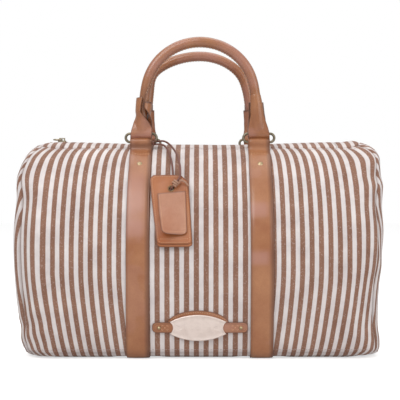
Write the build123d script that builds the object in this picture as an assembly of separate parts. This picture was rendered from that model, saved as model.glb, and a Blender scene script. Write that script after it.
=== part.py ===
from build123d import *
import math
import os

# Striped canvas weekender bag: a barrel-shaped body with leather straps, two rolled leather
# handles on metal rings, a zip along the top, a name plate and a luggage tag on a leather lace.
# Millimetres. Origin at the centre of the underside, +X to the right, +Y to the back, +Z up.

os.makedirs("parts", exist_ok=True)

# ---- body of the bag ----
HALF_LENGTH = 255.0
BELLY_HALF_DEPTH = 125.0
BELLY_Z = 135.0
TOP_Z = 292.0
STRAP_THICKNESS = 2.2
BASE_Z = STRAP_THICKNESS
TOP_RADIUS = 105.0
BELLY_LOWER_RADIUS = 520.0
BASE_CORNER_RADIUS = 16.0
SIDE_BULGE_RADIUS = 1207.0
SIDE_BULGE_Z = 140.0
END_TOP_RADIUS = 58.0
END_BOTTOM_RADIUS = 28.0
PLAN_CORNER_RADIUS = 30.0
CANVAS = 2.0
LINING = 0.8
BOARD_THICKNESS = 3.0
BOARD_X = 215.0
BOARD_Y = 88.0

# ---- seams and the zipped mouth ----
END_SEAM_X = 232.0
BASE_SEAM_Z = 12.0
MOUTH_SEAM_Y = 46.0
MOUTH_HALF_LENGTH = 190.0
FABRIC_GAP = 0.5
ZIP_HALF_WIDTH = 8.0
TAPE_HALF_WIDTH = 22.0
TAPE_SPLIT = 0.4
TOOTH_PITCH = 5.0
TOOTH_WIDTH = 2.1
TOOTH_REACH = 1.4
TOOTH_TIP_GAP = 0.35
TEETH_HALF_WIDTH = 3.2
TEETH_THICKNESS = 1.9
SLIDER_X = -199.0
SLIDER_LENGTH = 12.0
SLIDER_WIDTH = 9.0
SLIDER_THICKNESS = 1.8
SLIDER_CLEARANCE = 0.4
ZIP_STOP_X = 214.0
PULL_RING_RADIUS = 6.0
PULL_WIRE_RADIUS = 0.9

# ---- straps, rings and handles ----
STRAP_X = 81.0
STRAP_WIDTH = 30.0
STRAP_END_Y = 47.0
RING_Y = 53.0
RING_LOW_Z = 288.5
RING_PITCH = 11.5
RING_HIGH_Z = RING_LOW_Z + RING_PITCH
RING_WIRE_RADIUS = 1.8
RING_LENGTH = 46.0
BAR_CLEARANCE = 0.25
LOOP_LEATHER = 2.0
LOOP_INNER_RADIUS = RING_WIRE_RADIUS + BAR_CLEARANCE
LOOP_OUTER_RADIUS = LOOP_INNER_RADIUS + LOOP_LEATHER
RIVET_Z = 256.0
RIVET_HEAD_RADIUS = 4.0
RIVET_HEAD_HEIGHT = 1.6
RIVET_SHANK_RADIUS = 1.4
HANDLE_RADIUS = 7.25
HANDLE_WALL = 1.8
HANDLE_TOP_Z = 425.0
LEG_FOOT_Z = 296.0
LEG_START_Z = 305.0
LEG_LEAN = math.radians(7.4)
CHAPE_WIDTH = 29.0
CHAPE_NECK_WIDTH = 17.0
CHAPE_THICKNESS = 6.4
CHAPE_SHOULDER_Z = 318.0
CHAPE_TOP_Z = 346.0
TONGUE_WIDTH = 21.0
TONGUE_THICKNESS = 2.0
TONGUE_TOP_Z = 326.0
TONGUE_BOTTOM_Z = 301.0

# ---- name plate ----
PLATE_X = -2.5
PLATE_Z = 44.0
PLATE_LENGTH = 73.0
PLATE_HEIGHT = 35.0
PLATE_END_HEIGHT = 16.0
PLATE_NOTCH = 4.0
PLATE_THICKNESS = 1.4
BACKING_LENGTH = 82.0
BACKING_HEIGHT = 40.0
BACKING_RISE = 2.3
BELT_LENGTH = 124.0
BELT_HEIGHT = 14.0
BELT_CORNER = 5.5
BELT_X = 2.5
PATCH_THICKNESS = 1.6
PLATE_RIVET_X = 53.0
PLATE_RIVET_RADIUS = 2.4

# ---- luggage tag, measured from its eyelet ----
EYELET_POINT = (-37.7, -110.2, 223.0)
TAG_LEAN = math.radians(14.0)
TAG_TILT = math.radians(5.5)
TAG_WIDTH = 46.0
TAG_TOP = 19.0
TAG_BOTTOM = -72.0
TAG_CHAMFER = 10.0
TAG_BACK_THICKNESS = 2.0
TAG_FRAME_THICKNESS = 1.2
WINDOW_WIDTH = 31.0
WINDOW_TOP = -10.0
WINDOW_BOTTOM = -54.0
CARD_THICKNESS = 0.5
FLAP_WIDTH = 36.0
FLAP_TOP = -5.0
FLAP_BOTTOM = -57.0
FLAP_THICKNESS = 1.4
FLAP_GAP = 0.4
EYELET_HOLE_RADIUS = 2.9
EYELET_BARREL_RADIUS = 3.4
EYELET_FLANGE_RADIUS = 4.4
EYELET_FLANGE_THICKNESS = 0.6

# ---- lace ----
LACE_RADIUS = 1.3
LACE_CLEARANCE = 0.3
HITCH_RADIUS = RING_WIRE_RADIUS + LACE_CLEARANCE + LACE_RADIUS
HITCH_X = -64.3
KNOT_THICKNESS = 1.6
KNOT_ALONG = 8.0
LACE_ROUTE = [
    (-62.7, -51.05, 285.7),
    (-53.2, -51.2, 286.2),
    (-46.5, -58.5, 281.5),
    (-42.0, -68.5, 273.0),
    (-38.0, -80.0, 259.8),
    (-35.8, -92.5, 243.5),
    (-36.3, -100.8, 232.2),
    (-37.7, -106.9, 222.2),
    (-37.7, -116.02, 224.45),
    (-26.0, -114.6, 236.8),
    (-25.5, -104.0, 248.5),
    (-27.5, -90.0, 259.5),
    (-31.5, -76.5, 271.5),
    (-38.5, -64.0, 282.0),
    (-46.5, -54.5, 289.0),
    (-54.2, -49.2, 290.8),
    (-62.7, -49.6, 288.5),
]
FAR = 1000.0


def polar(centre, radius, angle):
    """Point on a circle, at an angle in radians."""
    return (centre[0] + radius * math.cos(angle), centre[1] + radius * math.sin(angle))


def arc(centre, radius, start, end):
    """Arc about centre, from one angle to another, in radians."""
    return CenterArc(centre, radius, math.degrees(start), math.degrees(end - start))


def nested_centre(outer_centre, outer_radius, radius, height):
    """Centre, at this height, of a circle that touches the outer circle from inside."""
    rise = height - outer_centre[1]
    along = math.sqrt((outer_radius - radius) ** 2 - rise**2)
    return (outer_centre[0] + along, height)


def closed_outline(half):
    """Face from the right half of a symmetric outline."""
    return make_face(Curve() + half + [mirror(edge, about=Plane.YZ) for edge in half])


# The upper side arc meets the belly upright and the top arc smoothly.
UPPER_RISE = TOP_Z - TOP_RADIUS - BELLY_Z
UPPER_RADIUS = (BELLY_HALF_DEPTH**2 + UPPER_RISE**2 - TOP_RADIUS**2) / (
    2 * (BELLY_HALF_DEPTH - TOP_RADIUS)
)
UPPER_CENTRE = (BELLY_HALF_DEPTH - UPPER_RADIUS, BELLY_Z)
TOP_CENTRE = (0.0, TOP_Z - TOP_RADIUS)
SHOULDER_ANGLE = math.atan2(TOP_CENTRE[1] - UPPER_CENTRE[1], -UPPER_CENTRE[0])
LOWER_CENTRE = (BELLY_HALF_DEPTH - BELLY_LOWER_RADIUS, BELLY_Z)
CORNER_CENTRE = nested_centre(
    LOWER_CENTRE, BELLY_LOWER_RADIUS, BASE_CORNER_RADIUS, BASE_Z + BASE_CORNER_RADIUS
)
CORNER_ANGLE = math.atan2(
    CORNER_CENTRE[1] - LOWER_CENTRE[1], CORNER_CENTRE[0] - LOWER_CENTRE[0]
)


def barrel_face(grow):
    """Outline of the bag seen from its end, moved outwards by grow."""
    low = BASE_Z - grow
    half = [
        arc(TOP_CENTRE, TOP_RADIUS + grow, SHOULDER_ANGLE, math.pi / 2),
        arc(UPPER_CENTRE, UPPER_RADIUS + grow, 0, SHOULDER_ANGLE),
        arc(LOWER_CENTRE, BELLY_LOWER_RADIUS + grow, CORNER_ANGLE, 0),
        arc(CORNER_CENTRE, BASE_CORNER_RADIUS + grow, -math.pi / 2, CORNER_ANGLE),
        Line((0, low), (CORNER_CENTRE[0], low)),
    ]
    return closed_outline(half)


def length_face(grow):
    """Outline of the bag seen from the front, moved outwards by grow."""
    side_centre = (HALF_LENGTH - SIDE_BULGE_RADIUS, SIDE_BULGE_Z)
    top = nested_centre(side_centre, SIDE_BULGE_RADIUS, END_TOP_RADIUS, TOP_Z - END_TOP_RADIUS)
    bottom = nested_centre(
        side_centre, SIDE_BULGE_RADIUS, END_BOTTOM_RADIUS, BASE_Z + END_BOTTOM_RADIUS
    )
    top_angle = math.atan2(top[1] - side_centre[1], top[0] - side_centre[0])
    bottom_angle = math.atan2(bottom[1] - side_centre[1], bottom[0] - side_centre[0])
    half = [
        Line((0, TOP_Z + grow), (top[0], TOP_Z + grow)),
        arc(top, END_TOP_RADIUS + grow, top_angle, math.pi / 2),
        arc(side_centre, SIDE_BULGE_RADIUS + grow, bottom_angle, top_angle),
        arc(bottom, END_BOTTOM_RADIUS + grow, -math.pi / 2, bottom_angle),
        Line((0, BASE_Z - grow), (bottom[0], BASE_Z - grow)),
    ]
    return closed_outline(half)


def barrel_prism(grow, half_length):
    """The barrel outline drawn out along X."""
    return extrude(Plane.YZ * barrel_face(grow), half_length, both=True)


def bag_solid(grow):
    """Solid of the whole bag, moved outwards by grow."""
    plan = RectangleRounded(
        2 * (HALF_LENGTH + grow), 2 * (BELLY_HALF_DEPTH + grow), PLAN_CORNER_RADIUS + grow
    )
    return (
        barrel_prism(grow, HALF_LENGTH + 10)
        & extrude(Plane.XZ * length_face(grow), BELLY_HALF_DEPTH + 10, both=True)
        & extrude(plan, TOP_Z + 20, both=True)
    )


def block(x0, x1, y0, y1, z0, z1):
    """Box between two corners."""
    return Pos((x0 + x1) / 2, (y0 + y1) / 2, (z0 + z1) / 2) * Box(x1 - x0, y1 - y0, z1 - z0)


def to_back(shape):
    """The same piece on the back of the bag."""
    return mirror(shape, about=Plane.XZ)


def cross_bar(radius, length, x, y, z):
    """Round bar along X."""
    return Pos(x, y, z) * Rot(0, 90, 0) * Cylinder(radius, length)


def save(name, shape):
    export_step(shape, f"parts/{name}.step")
    print(f"{name}: {shape.volume / 1000:.2f} cm3")


# ---- canvas panels and what lines them ----
outer_solid = bag_solid(0)
canvas_shell = outer_solid - bag_solid(-CANVAS)
lining_shell = bag_solid(-CANVAS) - bag_solid(-CANVAS - LINING)

middle = block(-END_SEAM_X, END_SEAM_X, -FAR, FAR, BASE_SEAM_Z, FAR)
top_channel = block(-FAR, FAR, -MOUTH_SEAM_Y, MOUTH_SEAM_Y, BELLY_Z, FAR)
front_side = block(-FAR, FAR, -FAR, 0, -FAR, FAR)
mouth_gap = block(
    -MOUTH_HALF_LENGTH - FABRIC_GAP,
    MOUTH_HALF_LENGTH + FABRIC_GAP,
    -MOUTH_SEAM_Y - FABRIC_GAP,
    MOUTH_SEAM_Y + FABRIC_GAP,
    BELLY_Z,
    FAR,
)


def surface_point(z):
    """Point (y, z) on the front of the barrel at a height, and its outward lean in radians."""
    if z > polar(TOP_CENTRE, TOP_RADIUS, SHOULDER_ANGLE)[1]:
        centre, radius = TOP_CENTRE, TOP_RADIUS
    elif z > BELLY_Z:
        centre, radius = UPPER_CENTRE, UPPER_RADIUS
    else:
        centre, radius = LOWER_CENTRE, BELLY_LOWER_RADIUS
    angle = math.asin((z - centre[1]) / radius)
    return (-(centre[0] + radius * math.cos(angle)), z), angle


def surface_plane(x, z):
    """Plane lying on the front of the barrel: local x along X, local y up, normal outwards."""
    (y, _), lean = surface_point(z)
    return Plane((x, y, z), x_dir=(1, 0, 0), z_dir=(0, -math.cos(lean), math.sin(lean)))


rivet_planes = [surface_plane(x, RIVET_Z) for x in (-STRAP_X, STRAP_X)]


def rivet_shank(plane):
    return plane * Cylinder(RIVET_SHANK_RADIUS, 12)


front_shanks = [rivet_shank(plane) for plane in rivet_planes]
main_front = (canvas_shell & middle & front_side) - top_channel - mouth_gap
main_front -= front_shanks
main_back = to_back(main_front)
base_panel = canvas_shell & block(-END_SEAM_X, END_SEAM_X, -FAR, FAR, -FAR, BASE_SEAM_Z)
end_right = canvas_shell & block(END_SEAM_X, FAR, -FAR, FAR, -FAR, FAR)
end_left = mirror(end_right, about=Plane.YZ)
zip_end_right = (canvas_shell & middle & top_channel) & block(0, FAR, -FAR, FAR, 0, FAR)
zip_end_right -= mouth_gap
zip_end_left = mirror(zip_end_right, about=Plane.YZ)
lining = lining_shell - mouth_gap - front_shanks - [to_back(pin) for pin in front_shanks]
board_z = BASE_Z + CANVAS + LINING
board = block(-BOARD_X, BOARD_X, -BOARD_Y, BOARD_Y, board_z, board_z + BOARD_THICKNESS)

save("main_panel_front", main_front)
save("main_panel_back", main_back)
save("base_panel", base_panel)
save("end_panel_left", end_left)
save("end_panel_right", end_right)
save("zip_end_left", zip_end_left)
save("zip_end_right", zip_end_right)
save("lining", lining)
save("base_board", board)

# ---- zipped mouth: on each side a canvas gusset, a zip tape and a row of teeth ----
mouth_zone = block(
    -MOUTH_HALF_LENGTH, MOUTH_HALF_LENGTH, -MOUTH_SEAM_Y, -ZIP_HALF_WIDTH, BELLY_Z, FAR
)
gusset_front = canvas_shell & mouth_zone
tape_zone = block(-MOUTH_HALF_LENGTH, MOUTH_HALF_LENGTH, -TAPE_HALF_WIDTH, -TAPE_SPLIT, BELLY_Z, FAR)
tape_front = lining_shell & tape_zone


def teeth_row(offset):
    """Comb of zip teeth on the front side: a bead with teeth that reach past the middle."""
    bead = Pos(0, -(TEETH_HALF_WIDTH + TOOTH_REACH) / 2, 0) * Rectangle(
        2 * MOUTH_HALF_LENGTH, TEETH_HALF_WIDTH - TOOTH_REACH
    )
    count = int(2 * (MOUTH_HALF_LENGTH - TOOTH_PITCH) / TOOTH_PITCH)
    start = -(count - 1) * TOOTH_PITCH / 2 + offset
    places = [Pos(start + index * TOOTH_PITCH, 0, 0) for index in range(count)]
    tooth = Pos(0, -TOOTH_TIP_GAP / 2) * Rectangle(TOOTH_WIDTH, 2 * TOOTH_REACH - TOOTH_TIP_GAP)
    comb = bead + [place * tooth for place in places]
    return Pos(0, 0, TOP_Z - CANVAS) * extrude(comb, TEETH_THICKNESS)


quarter_pitch = TOOTH_PITCH / 4
teeth_front = teeth_row(-quarter_pitch)
teeth_back = to_back(teeth_row(quarter_pitch))

save("gusset_front", gusset_front)
save("gusset_back", to_back(gusset_front))
save("zip_tape_front", tape_front)
save("zip_tape_back", to_back(tape_front))
save("zip_teeth_front", teeth_front)
save("zip_teeth_back", teeth_back)

# ---- zip slider, pull ring and end stops ----
slider_floor = TOP_Z + SLIDER_CLEARANCE
slider_top = slider_floor + SLIDER_THICKNESS
bail_z = slider_top + PULL_WIRE_RADIUS + 0.5


def zip_slider():
    """Slider plate that rides over the teeth, with a bridge for the pull ring."""
    plate = Pos(SLIDER_X, 0, slider_floor) * extrude(
        SlotOverall(SLIDER_LENGTH, SLIDER_WIDTH), SLIDER_THICKNESS
    )
    bridge = block(SLIDER_X - 4.2, SLIDER_X + 4.2, -1.3, 1.3, slider_top, bail_z + 2.6)
    tunnel = block(SLIDER_X - 2.6, SLIDER_X + 2.6, -3, 3, slider_top, bail_z + PULL_WIRE_RADIUS + 0.5)
    return plate + (bridge - tunnel)


def pull_ring():
    """Wire ring through the bridge, lying flat towards the left."""
    return Pos(SLIDER_X - PULL_RING_RADIUS, 0, bail_z) * Torus(PULL_RING_RADIUS, PULL_WIRE_RADIUS)


def zip_stop(x):
    """End stop that sits on the canvas where it starts to fall away."""
    return block(x - 1.5, x + 1.5, -3.5, 3.5, TOP_Z - 6, TOP_Z) - outer_solid


save("zip_slider", zip_slider())
save("zip_pull", pull_ring())
save("zip_stops", Compound(children=[zip_stop(x).solids()[0] for x in (-ZIP_STOP_X, ZIP_STOP_X)]))


# ---- straps, with a folded tab round each ring's lower bar ----
def strap(x):
    """Leather strap from the front seam, under the base, to the back seam."""
    slab = block(x - STRAP_WIDTH / 2, x + STRAP_WIDTH / 2, -FAR, FAR, -FAR, FAR)
    band = barrel_prism(STRAP_THICKNESS, HALF_LENGTH) - barrel_prism(0, HALF_LENGTH)
    band = (band & slab) - block(-FAR, FAR, -STRAP_END_Y, STRAP_END_Y, BELLY_Z, FAR)
    loop = cross_bar(LOOP_OUTER_RADIUS, STRAP_WIDTH, x, -RING_Y, RING_LOW_Z)
    neck = block(
        x - STRAP_WIDTH / 2,
        x + STRAP_WIDTH / 2,
        -RING_Y - LOOP_LEATHER - 0.4,
        -RING_Y + LOOP_LEATHER + 0.4,
        RING_LOW_Z - 15,
        RING_LOW_Z,
    )
    tab = (loop + neck) - cross_bar(LOOP_INNER_RADIUS, 2 * STRAP_WIDTH, x, -RING_Y, RING_LOW_Z)
    tab -= barrel_prism(0, HALF_LENGTH)
    shank = rivet_shank(surface_plane(x, RIVET_Z))
    return band + tab + to_back(tab) - shank - to_back(shank)


def rivet(plane):
    """Domed rivet head on the strap, with its shank through the canvas."""
    seat = plane.offset(STRAP_THICKNESS)
    dome_radius = (RIVET_HEAD_RADIUS**2 + RIVET_HEAD_HEIGHT**2) / (2 * RIVET_HEAD_HEIGHT)
    dome = Pos(0, 0, RIVET_HEAD_HEIGHT - dome_radius) * Sphere(dome_radius)
    dome &= Pos(0, 0, RIVET_HEAD_HEIGHT / 2) * Cylinder(RIVET_HEAD_RADIUS, RIVET_HEAD_HEIGHT)
    length = STRAP_THICKNESS + CANVAS + LINING
    shank = Pos(0, 0, -length / 2) * Cylinder(RIVET_SHANK_RADIUS, length)
    return seat * (dome + shank)


for side, x in (("left", -STRAP_X), ("right", STRAP_X)):
    save(f"strap_{side}", strap(x))
front_rivets = [rivet(plane) for plane in rivet_planes]
rivets = front_rivets + [to_back(head) for head in front_rivets]
save("strap_rivets", Compound(children=[head.solids()[0] for head in rivets]))


# ---- rings ----
def front_ring(x):
    """Long oval wire ring standing on its lower bar."""
    centreline = SlotOverall(RING_LENGTH - 2 * RING_WIRE_RADIUS, RING_PITCH)
    plane = Plane((x, -RING_Y, RING_LOW_Z + RING_PITCH / 2), x_dir=(1, 0, 0), z_dir=(0, -1, 0))
    path = plane * centreline.face().outer_wire()
    section = Plane(path @ 0, z_dir=path % 0) * Circle(RING_WIRE_RADIUS)
    return sweep(section, path=path)


for side, x in (("left", -STRAP_X), ("right", STRAP_X)):
    ring = front_ring(x)
    save(f"front_ring_{side}", ring)
    save(f"back_ring_{side}", to_back(ring))

# ---- handles ----
# Each leg leans inwards, and one arc over the top touches both legs.
lean_sin, lean_cos, lean_tan = math.sin(LEG_LEAN), math.cos(LEG_LEAN), math.tan(LEG_LEAN)
ARCH_RADIUS = (STRAP_X - (HANDLE_TOP_Z - LEG_FOOT_Z) * lean_tan) / (
    lean_cos - (1 - lean_sin) * lean_tan
)
ARCH_START_Z = HANDLE_TOP_Z - ARCH_RADIUS * (1 - lean_sin)


def leg_x(z):
    """Distance of a leg's axis from the middle of the bag at a height."""
    return STRAP_X - (z - LEG_FOOT_Z) * lean_tan


def handle_path():
    """Axis of the front handle: leg, arch, leg."""
    foot = (leg_x(LEG_START_Z), LEG_START_Z)
    spring = (leg_x(ARCH_START_Z), ARCH_START_Z)
    right = Line(foot, spring)
    arch = ThreePointArc(spring, (0, HANDLE_TOP_Z), (-spring[0], spring[1]))
    left = Line((-spring[0], spring[1]), (-foot[0], foot[1]))
    front = Plane((0, -RING_Y, 0), x_dir=(1, 0, 0), z_dir=(0, -1, 0))
    return front * Wire([right, arch, left])


def handle_tube(radius):
    path = handle_path()
    section = Plane(path @ 0, z_dir=path % 0) * Circle(radius)
    return sweep(section, path=path)


def front_outline(points, y0, y1):
    """Plate with an outline of (x, z) points, between two depths in front of the bag."""
    plane = Plane((0, y1, 0), x_dir=(1, 0, 0), z_dir=(0, -1, 0))
    return extrude(plane * make_face(Polyline(*points, close=True)), y1 - y0)


def tongue():
    """Rounded end of the right-hand leg, stitched over the front of the chape."""
    half = TONGUE_WIDTH / 2
    low_z = TONGUE_BOTTOM_Z + half
    low_x, high_x = leg_x(low_z), leg_x(TONGUE_TOP_Z)
    points = [
        (low_x - half, low_z),
        (low_x + half, low_z),
        (high_x + HANDLE_RADIUS, TONGUE_TOP_Z),
        (high_x - HANDLE_RADIUS, TONGUE_TOP_Z),
    ]
    near = -RING_Y - CHAPE_THICKNESS / 2
    flat = front_outline(points, near - TONGUE_THICKNESS, near)
    disc = Plane((low_x, near, low_z), x_dir=(1, 0, 0), z_dir=(0, -1, 0)) * Circle(half)
    return flat + extrude(disc, TONGUE_THICKNESS)


def chape_loop():
    """Leather rolled round the ring's upper bar."""
    return cross_bar(LOOP_OUTER_RADIUS, CHAPE_WIDTH, STRAP_X, -RING_Y, RING_HIGH_Z)


def chape():
    """Right-hand chape: a loop on the ring's upper bar and a plate that narrows up the leg."""
    wide, narrow = CHAPE_WIDTH / 2, CHAPE_NECK_WIDTH / 2
    shoulder_x, top_x = leg_x(CHAPE_SHOULDER_Z), leg_x(CHAPE_TOP_Z)
    points = [
        (STRAP_X - wide, RING_HIGH_Z),
        (STRAP_X + wide, RING_HIGH_Z),
        (shoulder_x + wide - 1, CHAPE_SHOULDER_Z),
        (top_x + narrow, CHAPE_TOP_Z),
        (top_x - narrow, CHAPE_TOP_Z),
        (shoulder_x - wide + 1, CHAPE_SHOULDER_Z),
    ]
    half = CHAPE_THICKNESS / 2
    plate = front_outline(points, -RING_Y - half, -RING_Y + half)
    bar = cross_bar(LOOP_INNER_RADIUS, 2 * CHAPE_WIDTH, STRAP_X, -RING_Y, RING_HIGH_Z)
    return plate + chape_loop() - bar - handle_tube(HANDLE_RADIUS)


core = handle_tube(HANDLE_RADIUS - HANDLE_WALL)
right_tongue = tongue() - chape_loop()
cover = handle_tube(HANDLE_RADIUS) + right_tongue + mirror(right_tongue, about=Plane.YZ) - core
right_chape = chape()
left_chape = mirror(right_chape, about=Plane.YZ)
for side, place in (("front", lambda shape: shape), ("back", to_back)):
    save(f"{side}_handle_cover", place(cover))
    save(f"{side}_handle_core", place(core))
    save(f"{side}_chape_left", place(left_chape))
    save(f"{side}_chape_right", place(right_chape))

# ---- name plate on its leather patch and belt ----
patch_plane = surface_plane(PLATE_X, PLATE_Z).offset(0.35)
belt_plane = patch_plane.offset(PATCH_THICKNESS)
plate_plane = belt_plane.offset(PATCH_THICKNESS)


def name_plate():
    """Blank metal plate with arched long sides and notched ends."""
    end_x, end_y = PLATE_LENGTH / 2, PLATE_END_HEIGHT / 2
    outline = Curve() + [
        ThreePointArc((-end_x, end_y), (0, PLATE_HEIGHT / 2), (end_x, end_y)),
        ThreePointArc((end_x, end_y), (end_x - PLATE_NOTCH, 0), (end_x, -end_y)),
        ThreePointArc((end_x, -end_y), (0, -PLATE_HEIGHT / 2), (-end_x, -end_y)),
        ThreePointArc((-end_x, -end_y), (PLATE_NOTCH - end_x, 0), (-end_x, end_y)),
    ]
    plate = extrude(make_face(outline), PLATE_THICKNESS)
    return plate_plane * fillet(plate.faces().sort_by(Axis.Z)[-1].edges(), 0.6)


def plate_rivet(x):
    """Small rivet on the belt, with its shank through belt and patch."""
    return belt_plane.offset(PATCH_THICKNESS) * Pos(x, 0, 0) * (
        Sphere(PLATE_RIVET_RADIUS) & Pos(0, 0, 5) * Box(10, 10, 10)
    )


patch = Pos(0, BACKING_RISE) * Ellipse(BACKING_LENGTH / 2, BACKING_HEIGHT / 2)
backing = extrude(patch_plane * patch, PATCH_THICKNESS)
belt_outline = RectangleRounded(BELT_LENGTH, BELT_HEIGHT, BELT_CORNER)
belt = extrude(belt_plane * Pos(BELT_X, 0) * belt_outline, PATCH_THICKNESS)
save("plate_backing", backing)
save("plate_belt", belt)
save("name_plate", name_plate())
belt_rivets = [plate_rivet(BELT_X + x) for x in (-PLATE_RIVET_X, PLATE_RIVET_X)]
save("plate_rivets", Compound(children=[head.solids()[0] for head in belt_rivets]))

# ---- luggage tag ----
tag_normal = Vector(0, -math.cos(TAG_LEAN), math.sin(TAG_LEAN))
slope = Vector(0, math.sin(TAG_LEAN), math.cos(TAG_LEAN))
tag_right = Vector(1, 0, 0) * math.cos(TAG_TILT) + slope * math.sin(TAG_TILT)
tag_plane = Plane(EYELET_POINT, x_dir=tag_right, z_dir=tag_normal)
frame_face = TAG_BACK_THICKNESS / 2 + TAG_FRAME_THICKNESS


def tag_outline():
    """Tag outline with its two upper corners cut off."""
    half = TAG_WIDTH / 2
    points = [
        (-half, TAG_BOTTOM),
        (half, TAG_BOTTOM),
        (half, TAG_TOP - TAG_CHAMFER),
        (half - TAG_CHAMFER, TAG_TOP),
        (TAG_CHAMFER - half, TAG_TOP),
        (-half, TAG_TOP - TAG_CHAMFER),
    ]
    return make_face(Polyline(*points, close=True)) - Circle(EYELET_BARREL_RADIUS)


def rectangle_between(width, low, high):
    return Pos(0, (low + high) / 2) * Rectangle(width, high - low)


def tag_layer(face, start, thickness):
    """Flat layer of the tag, from a depth in front of its middle plane."""
    return tag_plane.offset(start) * extrude(face, thickness)


def eyelet():
    """Metal eyelet: a barrel with a flange on each side of the tag."""
    back, front = -TAG_BACK_THICKNESS / 2, frame_face
    barrel = Pos(0, 0, back) * extrude(Circle(EYELET_BARREL_RADIUS), front - back)
    flanges = [
        Pos(0, 0, z) * extrude(Circle(EYELET_FLANGE_RADIUS), EYELET_FLANGE_THICKNESS)
        for z in (back - EYELET_FLANGE_THICKNESS, front)
    ]
    return tag_plane * (barrel + flanges - Cylinder(EYELET_HOLE_RADIUS, 20))


window = rectangle_between(WINDOW_WIDTH, WINDOW_BOTTOM, WINDOW_TOP)
card = rectangle_between(WINDOW_WIDTH - 1, WINDOW_BOTTOM + 0.5, WINDOW_TOP - 0.5)
flap_face = rectangle_between(FLAP_WIDTH, FLAP_BOTTOM, FLAP_TOP)
flap_face = fillet(flap_face.vertices(), 2.5)
save("tag_back", tag_layer(tag_outline(), -TAG_BACK_THICKNESS / 2, TAG_BACK_THICKNESS))
save("tag_frame", tag_layer(tag_outline() - window, TAG_BACK_THICKNESS / 2, TAG_FRAME_THICKNESS))
save("tag_card", tag_layer(card, TAG_BACK_THICKNESS / 2, CARD_THICKNESS))
save("tag_flap", tag_layer(flap_face, frame_face + FLAP_GAP, FLAP_THICKNESS))
save("tag_eyelet", eyelet())


# ---- lace: from the hitch on the ring, through the eyelet, and back ----
def corner_radii(points):
    """Largest arc at each corner that leaves a short straight run between arcs."""
    radii = []
    for before, here, after in zip(points, points[1:], points[2:]):
        first, second = Vector(here) - Vector(before), Vector(after) - Vector(here)
        turn = math.radians(first.get_angle(second))
        shorter = min(first.length, second.length)
        radii.append(0.45 * shorter / math.tan(turn / 2))
        print(f"lace turn {math.degrees(turn):.0f} deg, run {shorter:.1f}, radius {radii[-1]:.1f}")
    return radii


def lace():
    path = FilletPolyline(*LACE_ROUTE, radius=corner_radii(LACE_ROUTE))
    section = Plane(path @ 0, z_dir=path % 0) * Circle(LACE_RADIUS)
    tube = sweep(section, path=path)
    expected = math.pi * LACE_RADIUS**2 * path.length
    print(f"lace length {path.length:.1f}, volume {tube.volume:.1f}, expected {expected:.1f}")
    return tube


def lace_hitch():
    """Turn of lace round the lower bar of the left front ring."""
    turn = Torus(HITCH_RADIUS, LACE_RADIUS)
    return Pos(HITCH_X, -RING_Y, RING_LOW_Z) * Rot(0, 90, 0) * turn


def lace_knot():
    """Wrap of lace round the strand, just above the eyelet."""
    eyelet_corner, knot_corner = Vector(LACE_ROUTE[8]), Vector(LACE_ROUTE[9])
    along = (knot_corner - eyelet_corner).normalized()
    centre = eyelet_corner + along * KNOT_ALONG
    return Plane(centre, z_dir=along) * Torus(LACE_RADIUS + KNOT_THICKNESS / 2, KNOT_THICKNESS / 2)


save("tag_lace", lace())
save("lace_hitch", lace_hitch())
save("lace_knot", lace_knot())
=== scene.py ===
import math

import bpy
import numpy as np
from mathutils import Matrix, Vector, noise


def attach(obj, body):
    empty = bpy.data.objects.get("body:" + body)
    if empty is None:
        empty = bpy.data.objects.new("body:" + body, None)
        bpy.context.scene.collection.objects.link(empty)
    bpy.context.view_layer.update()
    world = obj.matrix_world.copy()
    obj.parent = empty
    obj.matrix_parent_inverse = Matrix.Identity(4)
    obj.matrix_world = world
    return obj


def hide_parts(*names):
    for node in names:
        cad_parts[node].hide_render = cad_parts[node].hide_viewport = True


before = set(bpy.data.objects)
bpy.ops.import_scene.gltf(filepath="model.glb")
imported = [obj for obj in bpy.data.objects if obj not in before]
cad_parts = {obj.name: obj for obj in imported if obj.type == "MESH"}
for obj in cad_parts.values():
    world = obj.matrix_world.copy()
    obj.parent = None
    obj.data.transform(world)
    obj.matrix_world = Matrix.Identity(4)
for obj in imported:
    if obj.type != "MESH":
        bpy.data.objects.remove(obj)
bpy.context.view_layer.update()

# Striped canvas weekender bag. Metres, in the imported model's frame: +X right, +Y back, +Z up.

# ---- measures shared with the CAD; centres are (distance from the middle, z) ----
BASE_Z = 0.0022
TOP_CENTRE = (0.0, 0.187)
TOP_RADIUS = 0.105
UPPER_CENTRE = (-0.0576, 0.135)
UPPER_RADIUS = 0.1826
LOWER_CENTRE = (-0.395, 0.135)
LOWER_RADIUS = 0.520
CORNER_CENTRE = (0.09528, 0.0182)
CORNER_RADIUS = 0.016
MOUTH_SEAM_Y = 0.0465
MOUTH_HALF_LENGTH = 0.190
STRIP_HALF_LENGTH = 0.228
JOIN_Z = 0.200
FOOT_Z = 0.045
STRAP_X = 0.081
RING_Y = 0.053
RING_LOW_Z = 0.2885
RING_HIGH_Z = 0.300
PLATE_CENTRE = (-0.0025, 0.044)

# ---- cloth ----
STRIPE_PITCH_MIDDLE = 0.01268
STRIPE_PITCH_SIDE = 0.0122
STRIPE_CHANGE = 0.070
STRIPE_OFFSET = 0.871
BROWN_SHARE = 0.535
PLAN_RADIUS_TOP = 0.030
PLAN_RADIUS = 0.044
HALF_LENGTH = 0.2545
HALF_DEPTH = 0.125
END_SEAM = 0.2375
GATHER = 0.0105
GATHER_FADE = 0.022
GATHER_ZONE = (0.055, 0.14)
FLAT_REACH = 0.20
FOOT_GATHER = 0.0170
TOP_SAG = 0.0042
THREADS_PER_STRIPE = 14
WEFT_PITCH = 0.0009
LINING_GAP = 0.0024

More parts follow.
